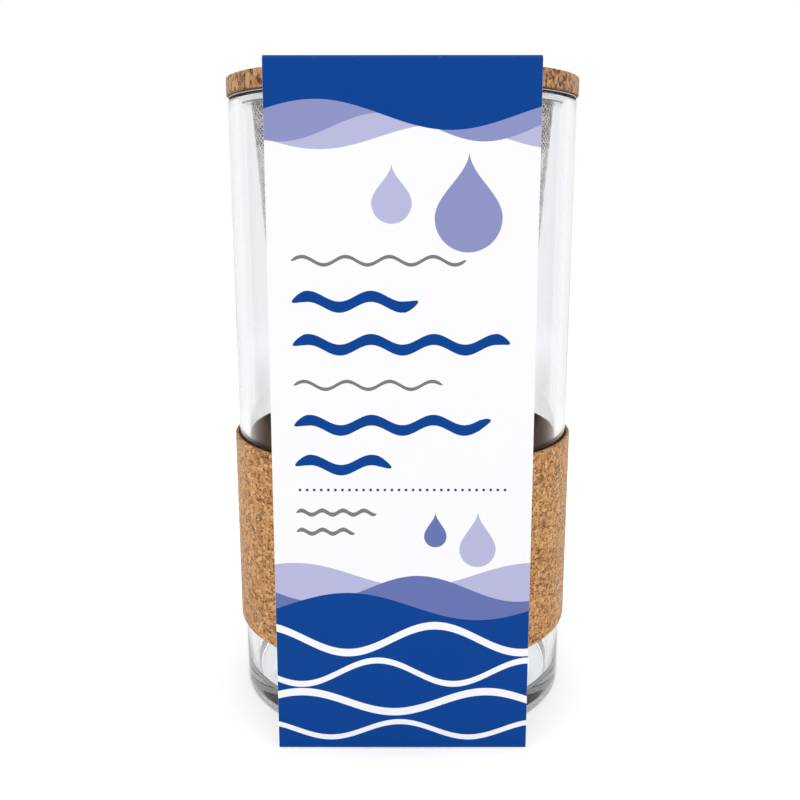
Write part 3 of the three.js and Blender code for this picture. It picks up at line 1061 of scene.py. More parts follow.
def leaflet_paper(paper, blue, grey):
    """White paper with fine ruled strokes and a blue head rule."""
    material, tree, shader, spot = surface("leaflet_paper")
    fibre = place_group(tree, paper_fibre, Vector=spot, Fibre=0.35)
    x, _, z = split_mm(tree, spot)
    row_pitch, row_weight, first_row, last_row = 2.6, 0.6, 106.0, 138.0
    shortest, spread = 8.0, 22.0
    head_height, head_half, head_reach = 142.5, 1.0, 20.0
    rows = (z.step("FLOORED_MODULO", row_pitch) < row_weight) * (z > first_row) * (z < last_row)
    by_row = stretched(tree, spot, (40.0, 0.0, 380.0))
    uneven = speckle(tree, by_row, scale=1.0, detail=0.0)
    strokes = rows * (abs(x) < uneven * spread + shortest)
    head = (abs(z - head_height) < head_half) * (abs(x) < head_reach)
    ink = mixed(tree, strokes * 0.75, paper, grey)
    ink = mixed(tree, head, ink, blue)
    finish(
        shader, Base_Color=toned(tree, ink, fibre["Tone"]), Roughness=0.8,
        Specular_IOR_Level=0.3, Normal=relief(tree, fibre["Height"], depth=0.03, strength=0.5))
    return material


# Rippled strokes on the sleeve's front: height, left end, right end, weight, rise, wave and ink
SLEEVE_STROKES = (
    (117.2, -24.5, 14.0, 0.8, 0.9, 9.6, "grey"),
    (108.2, -24.5, 3.5, 2.5, 1.2, 14.0, "blue"),
    (98.6, -24.5, 24.0, 2.5, 1.2, 14.0, "blue"),
    (89.4, -24.5, 9.0, 0.8, 0.9, 9.6, "grey"),
    (80.2, -24.5, 20.0, 2.5, 1.2, 14.0, "blue"),
    (70.9, -24.5, -2.5, 2.5, 1.2, 14.0, "blue"),
    (59.6, -24.5, -6.0, 1.0, 0.5, 4.8, "grey"),
    (55.0, -24.5, -11.0, 1.0, 0.5, 4.8, "grey"),
)
# Drops on the sleeve's front: across, height, radius, tip and ink
SLEEVE_DROPS = (
    (14.4, 126.4, 7.4, 14.4, "lavender"),
    (-2.4, 129.6, 4.4, 8.6, "pale"),
    (17.4, 50.6, 4.2, 9.5, "pale"),
    (7.6, 53.8, 2.6, 6.0, "violet"),
)
# Wave edges of the printed fields: height, rise, wave, start and ink, from the lowest layer up
SLEEVE_TOP_WAVES = (
    (143.6, 2.6, 52.0, 0.6, "pale"),
    (145.6, 3.0, 44.0, 2.2, "lavender"),
    (148.2, 3.2, 58.0, 3.6, "blue"),
)
SLEEVE_FOOT_WAVES = (
    (44.4, 3.0, 56.0, 4.4, "pale"),
    (41.0, 3.2, 47.0, 1.1, "violet"),
    (36.6, 3.4, 61.0, 2.9, "blue"),
)
# White lines through the lower field: height, rise, wave, start and weight
SLEEVE_FOOT_LINES = (
    (28.4, 3.4, 41.0, 0.4, 1.9),
    (20.0, 3.0, 36.0, 2.6, 1.5),
    (12.4, 2.6, 44.0, 5.0, 1.9),
    (5.2, 2.0, 33.0, 1.7, 1.3),
)
# Dotted rule across both panels: height, pitch, radius of a dot and half its length
SLEEVE_RULE = (65.0, 1.62, 0.33, 24.6)


def wave_edge(x, height, rise, wave, start):
    """The height of a waved edge at x."""
    return (x * (math.tau / wave) + start).step("SINE") * rise + height


def stroke_mask(x, z, height, left, right, weight, rise, wave):
    """A rippled stroke with round ends."""
    near_end = ((x - left) * (right - x)) / (weight * (right - left))
    half = ((near_end | 0.0) & 1.0).step("SQRT") * (weight / 2)
    return abs(z - wave_edge(x - left, height, rise, wave, 0.0)) < half


def drop_mask(x, z, across, height, radius, tip):
    """A drop: a half disc below and a waist that closes to a point above."""
    u = abs(x - across)
    v = z - height
    below = ((v * v) * -1.0 + radius * radius | 0.0).step("SQRT")
    bend = ((v & tip) * (math.pi / tip)).step("COSINE")
    above = (bend + 1.0) * (radius / 2)
    lower = v < 0.0
    return u < below * lower + above * (1.0 - lower)


def printed_card(sleeve):
    """Coated card: printed outside, bare inside and on the cut edges, worn along the folds."""
    material, tree, shader, spot = surface("printed_card")
    fibre = place_group(tree, paper_fibre, Vector=spot, Fibre=0.12)
    x, y, z = split_mm(tree, spot)
    width, reach, top, foot, card, fold = in_mm(
        sleeve, "width", "reach", "top", "foot", "card", "fold")
    front = y < 0.0
    ink = sleeve.white
    for *wave, colour in SLEEVE_TOP_WAVES:
        ink = mixed(tree, z > wave_edge(x, *wave), ink, getattr(sleeve, colour))
    for *wave, colour in SLEEVE_FOOT_WAVES:
        ink = mixed(tree, z < wave_edge(x, *wave), ink, getattr(sleeve, colour))
    for *wave, weight in SLEEVE_FOOT_LINES:
        ink = mixed(tree, abs(z - wave_edge(x, *wave)) < weight / 2, ink, sleeve.white)
    for *stroke, colour in SLEEVE_STROKES:
        ink = mixed(tree, stroke_mask(x, z, *stroke) * front, ink, getattr(sleeve, colour))
    for *drop, colour in SLEEVE_DROPS:
        ink = mixed(tree, drop_mask(x, z, *drop) * front, ink, getattr(sleeve, colour))
    *rule, rule_end = SLEEVE_RULE
    ink = mixed(tree, dot_row(x, z, *rule) * (abs(x) < rule_end), ink, sleeve.blue)
    from_fold_y = abs(y) - (reach - card / 2 - fold) | 0.0
    from_fold_z = z - (top - card / 2 - fold) | 0.0
    along_fold = stretched(tree, spot, (0.5, 1.0, 1.0))
    scuff = speckle(tree, along_fold, scale=900.0, detail=4.0, roughness=0.7)
    worn = ((from_fold_y & from_fold_z) > 0.45 * fold) * scuff.ramp(0.6, 0.74) * 0.1
    inside = span(from_fold_y, from_fold_z) < fold
    skin = 0.02
    bare = inside | (abs(x) > width / 2 - skin) | (z < foot + skin)
    ink = mixed(tree, bare | worn, ink, sleeve.board)
    gloss = speckle(tree, spot, scale=60.0, detail=2.0)
    finish(
        shader, Base_Color=toned(tree, ink, fibre["Tone"]), Roughness=gloss * 0.16 + 0.42,
        Specular_IOR_Level=0.1, Normal=relief(tree, fibre["Height"], depth=0.012, strength=0.4))
    return material


# Operators, one for each piece or group of like pieces

# How many sides turned pieces have
GLASS_SIDES = 192
BAND_SIDES = 440
LID_SIDES = 400
FOOT_SIDES = 160
BORDER_SIDES = 128
COIR_SIDES = 220
# Shares of specks, fissures and open joints in the cork
BAND_FLAWS = (0.36, 0.06, 0.8)
LID_FLAWS = (0.2, 0.5, 0.35)


def jar_radius(jar, z):
    """The jar's outer radius at a height, both in millimetres."""
    height, rim, taper = in_mm(jar, "height", "rim_radius", "taper")
    return rim - taper * (1 - z / height)


class HERBGARDEN_OT_glass_jar(bpy.types.Operator):
    """Makes the glass jar with its rounded lip, thick floor and push-up"""
    bl_idname = "herb_garden.glass_jar"
    bl_label = "Glass jar"
    bl_options = {"REGISTER", "UNDO"}

    def execute(self, context):
        jar = context.scene.herb_garden.jar
        height, rim, wall, lip, floor, heel, fillet, ring, punt = in_mm(
            jar, "height", "rim_radius", "wall", "lip", "floor", "heel", "fillet", "ring", "punt")
        base = jar_radius(jar, 0)
        hollow = base - heel - ring
        punt_steps, heel_steps, lip_steps, fillet_steps = 16, 12, 10, 16
        shares = [i / punt_steps for i in range(punt_steps + 1)]
        outline = [(hollow * share_of, punt * (1 - share_of ** 2)) for share_of in shares]
        outline += arc(base - heel, heel, heel, -90, 0, heel_steps)
        outline += arc(rim - lip, height - lip, lip, 0, 90, lip_steps)
        outline += arc(rim - wall + lip, height - lip, lip, 90, 180, lip_steps)
        outline += arc(base - wall - fillet, floor + fillet, fillet, 0, -90, fillet_steps)
        outline.append((0, floor))
        solid = turned(divided(outline, 6, closed=False), GLASS_SIDES, closed=False)
        make_piece("jar_glass", solid, clear_glass(jar), "glass_jar", sharp=60)
        return {"FINISHED"}


class HERBGARDEN_OT_cork_band(bpy.types.Operator):
    """Makes the cork band round the jar and the adhesive film behind it"""
    bl_idname = "herb_garden.cork_band"
    bl_label = "Cork band"
    bl_options = {"REGISTER", "UNDO"}

    def execute(self, context):
        settings = context.scene.herb_garden
        band = settings.cork
        foot, top, gap, thick, wet, film_thick, seam = in_mm(
            band, "band_foot", "band_top", "band_gap", "band_thickness", "film_wet",
            "film_thickness", "seam")
        low = jar_radius(settings.jar, foot)
        high = jar_radius(settings.jar, top)
        open_angle = seam / low
        start = math.pi / 2 + open_angle / 2
        sweep = math.tau - open_angle
        ease, inner_ease = 0.3, 0.1
        outline = rounded([
            (low + gap, foot, inner_ease), (low + gap + thick, foot, ease),
            (high + gap + thick, top, ease), (high + gap, top, inner_ease)], steps=4)
        solid = turned(divided(outline, 0.62), BAND_SIDES, start, sweep)
        material = cork(
            "band_cork", band.band_grain, BAND_FLAWS, band.band_light, band.band_body,
            band.band_dark, depth=0.14, squash=1.5)
        made = make_piece("cork_band_sheet", solid, material, "cork_band", sharp=70)
        sink(made, cork_pits(band.band_grain / MM, depth=0.07, seed=1))
        film = [
            (low - wet, foot), (low - wet + film_thick, foot),
            (high - wet + film_thick, top), (high - wet, top)]
        solid = turned(divided(film, 4), GLASS_SIDES, start, sweep)
        make_piece(
            "band_film", solid, adhesive_film(band.film), "band_adhesive")
        return {"FINISHED"}


class HERBGARDEN_OT_cork_lid(bpy.types.Operator):
    """Makes the cork lid with its plug and eased, pitted edges"""
    bl_idname = "herb_garden.cork_lid"
    bl_label = "Cork lid"
    bl_options = {"REGISTER", "UNDO"}

    def execute(self, context):
        lid = context.scene.herb_garden.cork
        radius, top, foot, plug, plug_depth = in_mm(
            lid, "lid_radius", "lid_top", "lid_foot", "plug_radius", "plug_depth")
        seat = foot + plug_depth
        outline = rounded([
            (0, foot, 0), (plug, foot, 0.5), (plug, seat, 0.2), (radius, seat, 0.2),
            (radius, top, 0.35), (0, top, 0)], closed=False, steps=4)
        solid = turned(divided(outline, 0.7, closed=False), LID_SIDES, closed=False)
        material = cork(
            "lid_cork", lid.lid_grain, LID_FLAWS, lid.lid_light, lid.lid_body, lid.lid_dark,
            depth=0.2, underside_shade=(lid.lid_radius, seat * MM))
        made = make_piece("cork_lid_disc", solid, material, "cork_lid", sharp=75)
        sink(made, cork_pits(lid.lid_grain / MM, depth=0.2, seed=2))
        return {"FINISHED"}


class HERBGARDEN_OT_net_pot(bpy.types.Operator):
    """Makes the net pot: polished rim, diamond mesh wall and bottom, and foot ring"""
    bl_idname = "herb_garden.net_pot"
    bl_label = "Net pot"
    bl_options = {"REGISTER", "UNDO"}

    def execute(self, context):
        pot = context.scene.herb_garden.pot
        # Painted shade lines under the skirt's shoulder and along the flange's lower edge
        skirt_shade_line = (pot.skirt_radius, pot.rim_foot)
        flange_shade_line = (pot.flange_radius, pot.flange_top - pot.rim_sheet)
        polished = steel("polished_steel", pot.steel, (skirt_shade_line, flange_shade_line))
        strands = mesh_steel(pot)
        self.rim(pot, polished)
        self.wall(pot, strands)
        self.foot(pot, polished)
        self.bottom(pot, strands)
        return {"FINISHED"}

    def rim(self, pot, material):
        """A flange on the jar's lip, a skirt in its mouth and a shoulder inwards to the mesh."""
        top, outer, low, sheet, skirt, shoulder = in_mm(
            pot, "flange_top", "flange_radius", "rim_foot", "rim_sheet", "skirt_radius",
            "shoulder")
        inner = skirt - shoulder
        outline = rounded([
            (inner, low, 0.2), (skirt, low, 0.45), (skirt, top - sheet, 0.2),
            (outer, top - sheet, 0.28), (outer, top, 0.28), (skirt - sheet, top, 0.35),
            (skirt - sheet, low + sheet, 0.2), (inner, low + sheet, 0.2)])
        make_piece(
            "net_pot_flange", turned(outline, GLASS_SIDES), material, "net_pot_rim",
            sharp=50)

    def wall(self, pot, material):
        """The tapered mesh."""
        top, low, radius, pitch, strand, sheet = in_mm(
            pot, "mesh_top", "mesh_foot", "mesh_radius", "pitch", "strand", "sheet")
        rows = 2 * int((top - low) / pitch)
        half_row = (top - low) / rows
        half_column = math.pi * radius / pot.columns
        reach = half_column * half_row / math.hypot(half_column, half_row)

        def spot(u, v, depth):
            z = low + v * half_row
            distance = radius - pot.mesh_taper * (top - z) - depth * sheet
            angle = math.pi * u / pot.columns
            return distance * math.cos(angle), distance * math.sin(angle), z

        solid = lattice(pot.columns, rows, strand / 2 / reach, tilt=0.15, spot=spot)
        make_piece("net_pot_mesh_wall", solid, material, "net_pot_wall", sharp=25)

    def foot(self, pot, material):
        """The channel that closes the mesh's lower edge."""
        low, high = box_mm("net_pot_foot_ring")
        radius, lip, sheet = in_mm(pot, "disc_radius", "foot_lip", "foot_sheet")
        lip_inner = radius - lip
        outline = rounded([
            (lip_inner, low.z, 0.2), (high.x, low.z, 0.6), (high.x, high.z, 0.22),
            (high.x - sheet, high.z, 0.22), (high.x - sheet, low.z + sheet, 0.2),
            (lip_inner, low.z + sheet, 0.2)])
        make_piece(
            "net_pot_foot_channel", turned(outline, FOOT_SIDES), material, "net_pot_foot_ring",
            sharp=50)

    def bottom(self, pot, material):
        """The mesh disc with a rolled border and a framed slot for the wick."""
        radius, low, pitch, strand, sheet, mesh_radius = in_mm(
            pot, "disc_radius", "disc_foot", "pitch", "strand", "sheet", "mesh_radius")
        slot_length, slot_width, bar, edge = in_mm(
            pot, "slot_length", "slot_width", "slot_bar", "disc_border")
        thick, inset = 0.8, 0.1
        level = low + thick / 2
        half_x = math.pi * mesh_radius / pot.columns
        half_y = pitch / 2
        columns = int(radius / half_x) + 1
        rows = 2 * (int(radius / half_y) + 1)
        reach = half_x * half_y / math.hypot(half_x, half_y)

        def flat(u, v):
            return (u - columns) * half_x, (v - rows / 2) * half_y

        def spot(u, v, depth):
            return (*flat(u, v), level + (0.5 - depth) * sheet)

        def keep(i, j):
            x, y = flat(i, j)
            clear_slot = abs(x) > slot_length / 2 or abs(y) > slot_width / 2
            return math.hypot(x, y) < radius - 1.5 and clear_slot

        mesh = lattice(
            columns, rows, strand / 2 / reach, tilt=0.45, spot=spot, wraps=False, keep=keep)
        border_low, border_top = low + inset, low + thick - inset
        border = rounded([
            (radius - edge, border_low, 0.2), (radius, border_low, 0.2),
            (radius, border_top, 0.2), (radius - edge, border_top, 0.2)], steps=3)
        half_length, half_width = slot_length / 2, slot_width / 2
        bars = []
        for x0, x1, y0, y1 in (
                (-half_length - bar, half_length + bar, half_width, half_width + bar),
                (-half_length - bar, half_length + bar, -half_width - bar, -half_width),
                (-half_length - bar, -half_length, -half_width, half_width),
                (half_length, half_length + bar, -half_width, half_width)):
            path = [(x0, (y0 + y1) / 2), (x1, (y0 + y1) / 2)]
            bars.append(ribbon(
                path, thick - 2 * inset, y1 - y0, across=1,
                place=lambda a, b, c: (a, b, level + c)))
        solid = joined(mesh, turned(border, BORDER_SIDES), *bars)
        make_piece(
            "net_pot_mesh_bottom", solid, material, "net_pot_bottom", sharp=25)


class HERBGARDEN_OT_wick(bpy.types.Operator):
    """Makes the felt wick: one strip folded double, its ends spread on the pot's bottom"""
    bl_idname = "herb_garden.wick"
    bl_label = "Wick"
    bl_options = {"REGISTER", "UNDO"}

    def execute(self, context):
        pot = context.scene.herb_garden.pot
        width, felt = in_mm(pot, "wick_width", "wick_felt")
        low, high = box_mm("wick")
        half_gap = 0.6
        level = high.z - half_gap
        turn = low.z + 2 * half_gap
        side = rounded(
            [(-high.y, level, 0), (-half_gap, level, 1.6), (-half_gap, turn, 0)],
            closed=False, steps=8)
        u_turn = arc(0, turn, half_gap, 180, 360, 10)
        path = side[:-1] + u_turn + [(-a, b) for a, b in reversed(side[:-1])]
        path = divided(path, 0.9, closed=False)

        hem, hem_depth, fuzz_depth = 0.35, 0.22, 0.05

        def nap(run, c, side_of_strip):
            edge = max(0.0, abs(c) - (width / 2 - hem)) / hem
            fuzz = noise.noise(Vector((run * 0.9, c * 0.9, side_of_strip * 9.0))) * fuzz_depth
            return side_of_strip * (fuzz - fuzz_depth - edge * hem_depth)

        solid = ribbon(
            path, width, felt, across=22, place=lambda a, b, c: (c, a, b), nudge=nap)
        material = matted(
            "felt", pot.felt, pot.felt_light, scale=1500.0, depth=0.12, sheen=0.4)
        made = make_piece("wick_felt_strip", solid, material, "wick", sharp=60)
        run = sum(math.dist(path[i], path[i + 1]) for i in range(len(path) - 1))
        width * MM
        return {"FINISHED"}


class HERBGARDEN_OT_coir_discs(bpy.types.Operator):
    """Makes the two pressed coir discs with their fibres and planting dimples"""
    bl_idname = "herb_garden.coir_discs"
    bl_label = "Coir discs"
    bl_options = {"REGISTER", "UNDO"}

    def execute(self, context):
        kit = context.scene.herb_garden.kit
        material = matted("coir", kit.coir, kit.coir_light, scale=900.0, depth=0.35, sheen=0.0)
        for seed, node in enumerate(("coir_disc_lower", "coir_disc_upper")):
            self.disc(node, seed, material)
        return {"FINISHED"}

    def disc(self, node, seed, material):
        """One disc: a crumbly block with fibres laid into its top and its side."""
        low, high = box_mm(node)
        room = 0.12
        radius = high.x - room
        foot = low.z
        top = high.z - room
        ease, dimple_radius, dimple_depth = 1.3, 5.2, 3.0
        outline = rounded([
            (0, foot, 0), (radius, foot, ease), (radius, top, ease), (dimple_radius, top, 1.2),
            (0, top - dimple_depth, 0)], closed=False, steps=4)
        block = turned(divided(outline, 0.8, closed=False), COIR_SIDES, closed=False)
        fibre_count, top_share = 420, 0.62
        stations = [k / 5 for k in range(6)]

        def fibre(draw):
            turn = draw.uniform(0, math.tau)
            heading = draw.uniform(0, math.tau)
            long = draw.uniform(4.0, 12.0)
            bend = draw.uniform(-1.6, 1.6)
            thick = draw.uniform(0.07, 0.16)
            path = []
            if draw.random() < top_share:
                reach = radius * math.sqrt(draw.uniform(0.06, 0.7))
                for station in stations:
                    angle = heading + bend * station
                    along = long * (station - 0.5)
                    x = reach * math.cos(turn) + along * math.cos(angle)
                    y = reach * math.sin(turn) + along * math.sin(angle)
                    distance = math.hypot(x, y)
                    inward = min(1.0, (radius - 1.4) / max(distance, 0.01))
                    dip = max(0.0, 1 - distance / 5.0) * dimple_depth
                    path.append(Vector((x * inward, y * inward, top - dip - 0.05)))
                return path, thick
            height = draw.uniform(foot + 1.6, top - 1.6)
            rise = draw.uniform(-0.35, 0.35)
            for station in stations:
                along = long * (station - 0.5)
                angle = turn + along / radius
                z = min(top - 1.2, max(foot + 1.2, height + along * rise))
                path.append(Vector((radius * math.cos(angle), radius * math.sin(angle), z)))
            return path, thick

        solid = joined(block, fibres(fibre_count, 11 + seed, fibre))
        made = make_piece(node + "_block", solid, material, node, sharp=80)
        shift = Vector((seed * 31.0, 0, 0))

        def crumb(point):
            coarse = noise.noise(point * 0.55 + shift)
            fine = noise.noise(point * 1.9 + shift)
            return 0.16 + 0.12 * coarse + 0.1 * fine

        sink(made, crumb)


class HERBGARDEN_OT_seed_packets(bpy.types.Operator):
    """Makes the two kraft seed packets with their folded flaps"""
    bl_idname = "herb_garden.seed_packets"
    bl_label = "Seed packets"
    bl_options = {"REGISTER", "UNDO"}

    def execute(self, context):
        kit = context.scene.herb_garden.kit
        self.packet("basil_seed_packet", kit.kraft, kit.first_band, seed=3)
        self.packet("parsley_seed_packet", kit.kraft, kit.second_band, seed=4)
        return {"FINISHED"}

    def packet(self, node, paper, band, seed):
        """One packet: a pouch with a flap folded down over its front."""
        low, high = box_mm(node)
        width, thick, height = high - low
        edge, seal = 0.42, 0.05
        bulge = thick - edge - 0.35

        def seeds(x, z):
            lump = noise.noise(Vector((x * 0.55, z * 0.55, seed * 5.0)))
            return 0.05 * lump * max(0.0, 1 - z / height)

        flap_columns, flap_rows = 30, 11
        flap_drop, flap_inset, flap_taper = 11.0, 0.4, 4.0
        flap_layers = (0.22, 0.03)

        def flap(sheet, i, j):
            down = j / flap_rows
            z = height - 0.02 - flap_drop * down
            half = width / 2 - flap_inset - flap_taper * down ** 1.4
            x = half * (2 * i / flap_columns - 1)
            swell = swelling(2 * x / width, 2 * z / height - 1, seal)
            return x, -(edge + bulge * swell) / 2 - flap_layers[sheet], z

        solid = joined(
            pouch(width, height, edge, bulge, 46, 50, seal=seal, ripple=seeds),
            two_sheets(flap_columns, flap_rows, flap))
        material = seed_paper(node + "_paper", paper, band, low.z, high.z)
        make_piece(
            node + "_envelope", lifted(solid, (low.y + high.y) / 2, low.z), material, node,
            sharp=50)


class HERBGARDEN_OT_leaflet(bpy.types.Operator):
    """Makes the instruction leaflet: one sheet of paper folded to and fro"""
    bl_idname = "herb_garden.leaflet"
    bl_label = "Leaflet"
    bl_options = {"REGISTER", "UNDO"}

    def execute(self, context):
        settings = context.scene.herb_garden
        low, high = box_mm("instruction_leaflet")
        paper = 0.3
        panels = 5
        half = (high.x - low.x) / 2 - paper / 2
        pitch = (high.y - low.y - paper) / (panels - 1)
        fold = pitch * 0.48
        corners = []
        for i in range(panels):
            y = low.y + paper / 2 + pitch * i
            end = -half if i % 2 else half
            corners += [(-end, y, fold), (end, y, fold)]
        path = divided(rounded(corners, closed=False, steps=6), 2.5, closed=False)
        middle = (low.z + high.z) / 2

        def spring(run, c, side):
            return 0.07 * noise.noise(Vector((run * 0.06, c * 0.05, 2.0)))

        solid = ribbon(
            path, high.z - low.z, paper, across=16, place=lambda a, b, c: (a, b, middle + c),
            nudge=spring)
        material = leaflet_paper(settings.kit.paper, settings.sleeve.blue, settings.sleeve.grey)
        make_piece(
            "leaflet_sheet", solid, material, "instruction_leaflet", sharp=50)
        return {"FINISHED"}


class HERBGARDEN_OT_sachets(bpy.types.Operator):
    """Makes the plant food sachet and the carbon sachet with crimped, toothed seals"""
    bl_idname = "herb_garden.sachets"
    bl_label = "Sachets"
    bl_options = {"REGISTER", "UNDO"}

    def execute(self, context):
        kit = context.scene.herb_garden.kit
        self.sachet(
            "plant_food_sachet", "foil_film", kit.foil, kit.foil_label, metallic=0.65, seed=5)
        self.sachet(
            "carbon_sachet", "dark_film", kit.dark_film, kit.dark_label, metallic=0.0, seed=6)
        return {"FINISHED"}

    def sachet(self, node, slot, colour, label, metallic, seed):
        """One sachet: crimped seals at both ends and creases that fade away from them."""
        low, high = box_mm(node)
        width, thick, height = high - low
        edge, seal, seal_share = 0.4, 5.0, 0.2
        bulge = thick - edge - 0.5
        crimp_depth, crimp_pitch = 0.14, 0.95
        crease_depth, crease_fade, dent_depth = 0.34, 7.0, 0.16

        def ripple(x, z):
            from_end = min(z, height - z)
            if from_end < seal:
                return crimp_depth * math.sin(math.tau * z / crimp_pitch)
            fade = math.exp(-(from_end - seal) / crease_fade)
            pull = noise.noise(Vector((x * 0.32, z * 0.05, seed * 4.0)))
            dent = noise.noise(Vector((x * 0.12, z * 0.12, seed * 9.0)))
            return crease_depth * fade * pull + dent_depth * dent

        material = packing_film(slot, colour, metallic, label, (low.z + high.z) / 2)
        solid = pouch(
            width, height, edge, bulge, 84, 212, seal=seal_share, ripple=ripple, notch=0.7,
            tooth=1.5)
        make_piece(
            node + "_pouch", lifted(solid, (low.y + high.y) / 2, low.z), material, node,
            sharp=60)


class HERBGARDEN_OT_card_sleeve(bpy.types.Operator):
    """Makes the printed card sleeve with its scored folds"""
    bl_idname = "herb_garden.card_sleeve"
    bl_label = "Card sleeve"
    bl_options = {"REGISTER", "UNDO"}

    def execute(self, context):
        sleeve = context.scene.herb_garden.sleeve
        width, reach, top, foot, card, fold = in_mm(
            sleeve, "width", "reach", "top", "foot", "card", "fold")
        y = reach - card / 2
        level = top - card / 2
        margin = fold + 2.0
        corners = [
            (-y, foot, 0), (-y, level - margin, 0), (-y, level, fold), (margin - y, level, 0),
            (y - margin, level, 0), (y, level, fold), (y, level - margin, 0), (y, foot, 0)]
        outline = rounded(corners, closed=False, steps=10)
        path = divided(outline, 0.16, closed=False, long_stretch=10, long_step=5)
        straight = level - fold - foot
        round_run = fold * math.pi / 2
        flat_run = 2 * (y - fold)
        beside, groove_half, groove_width, bow_height = 0.45, 0.035, 0.3, 0.05
        scores = (
            straight - beside, straight + round_run + beside,
            straight + round_run + flat_run - beside,
            straight + 2 * round_run + flat_run + beside)

        def score(run, c, side):
            nearest = min(abs(run - at) for at in scores)
            groove = groove_half * math.exp(-(nearest / groove_width) ** 2)
            bow = bow_height * noise.noise(Vector((run * 0.02, c * 0.03, 1.0)))
            return bow - side * groove

        solid = ribbon(
            path, width, card, across=24, place=lambda a, b, c: (c, a, b), nudge=score)
        make_piece(
            "card_sleeve_print", solid, printed_card(sleeve), "card_sleeve",
            sharp=45)
        return {"FINISHED"}


# Lamps of the stage: name, place, width, height, power setting and whether gloss and glass show it
STAGE_LAMPS = (
    ("side_lamp_left", (-0.62, -0.46, 0.24), 0.5, 0.7, "side_power", True),
    ("side_lamp_right", (0.62, -0.46, 0.24), 0.5, 0.7, "side_power", True),
    ("back_lamp_left", (-0.66, 0.42, 0.24), 0.5, 0.7, "back_power", False),
    ("back_lamp_right", (0.66, 0.42, 0.24), 0.5, 0.7, "back_power", False),
    ("top_lamp", (0, -0.12, 0.95), 0.9, 0.9, "top_power", True),
)
LAMP_AIM = Vector((0, 0, 0.08))
IMAGE_WIDTH = 800
IMAGE_SHIFT = 2.5
WHITE = (1.0, 1.0, 1.0)
FLOOR_HALF = 4.0
# Painted light: the floor under the jar, from a little behind its front, is lifted brighter where
# glass shows it
LIT_UNDER_JAR = (0.045, 0.06)
LIT_UNDER_JAR_FRONT = (-0.042, -0.02)
SHADE_FROM = (0.12, 0.22)
SHADE_TO = (0.45, 0.8)
SHADE_DEEPER_FROM = (0.322, 0.337)
GLOSS_WHITE_FROM = (0.25, 0.45)
GLASS_WHITE_FROM = (0.7, 1.1)
# Where the dark room behind the camera gives way to white, along Y of a direction
ROOM_EDGE = (-0.75, 0.15)


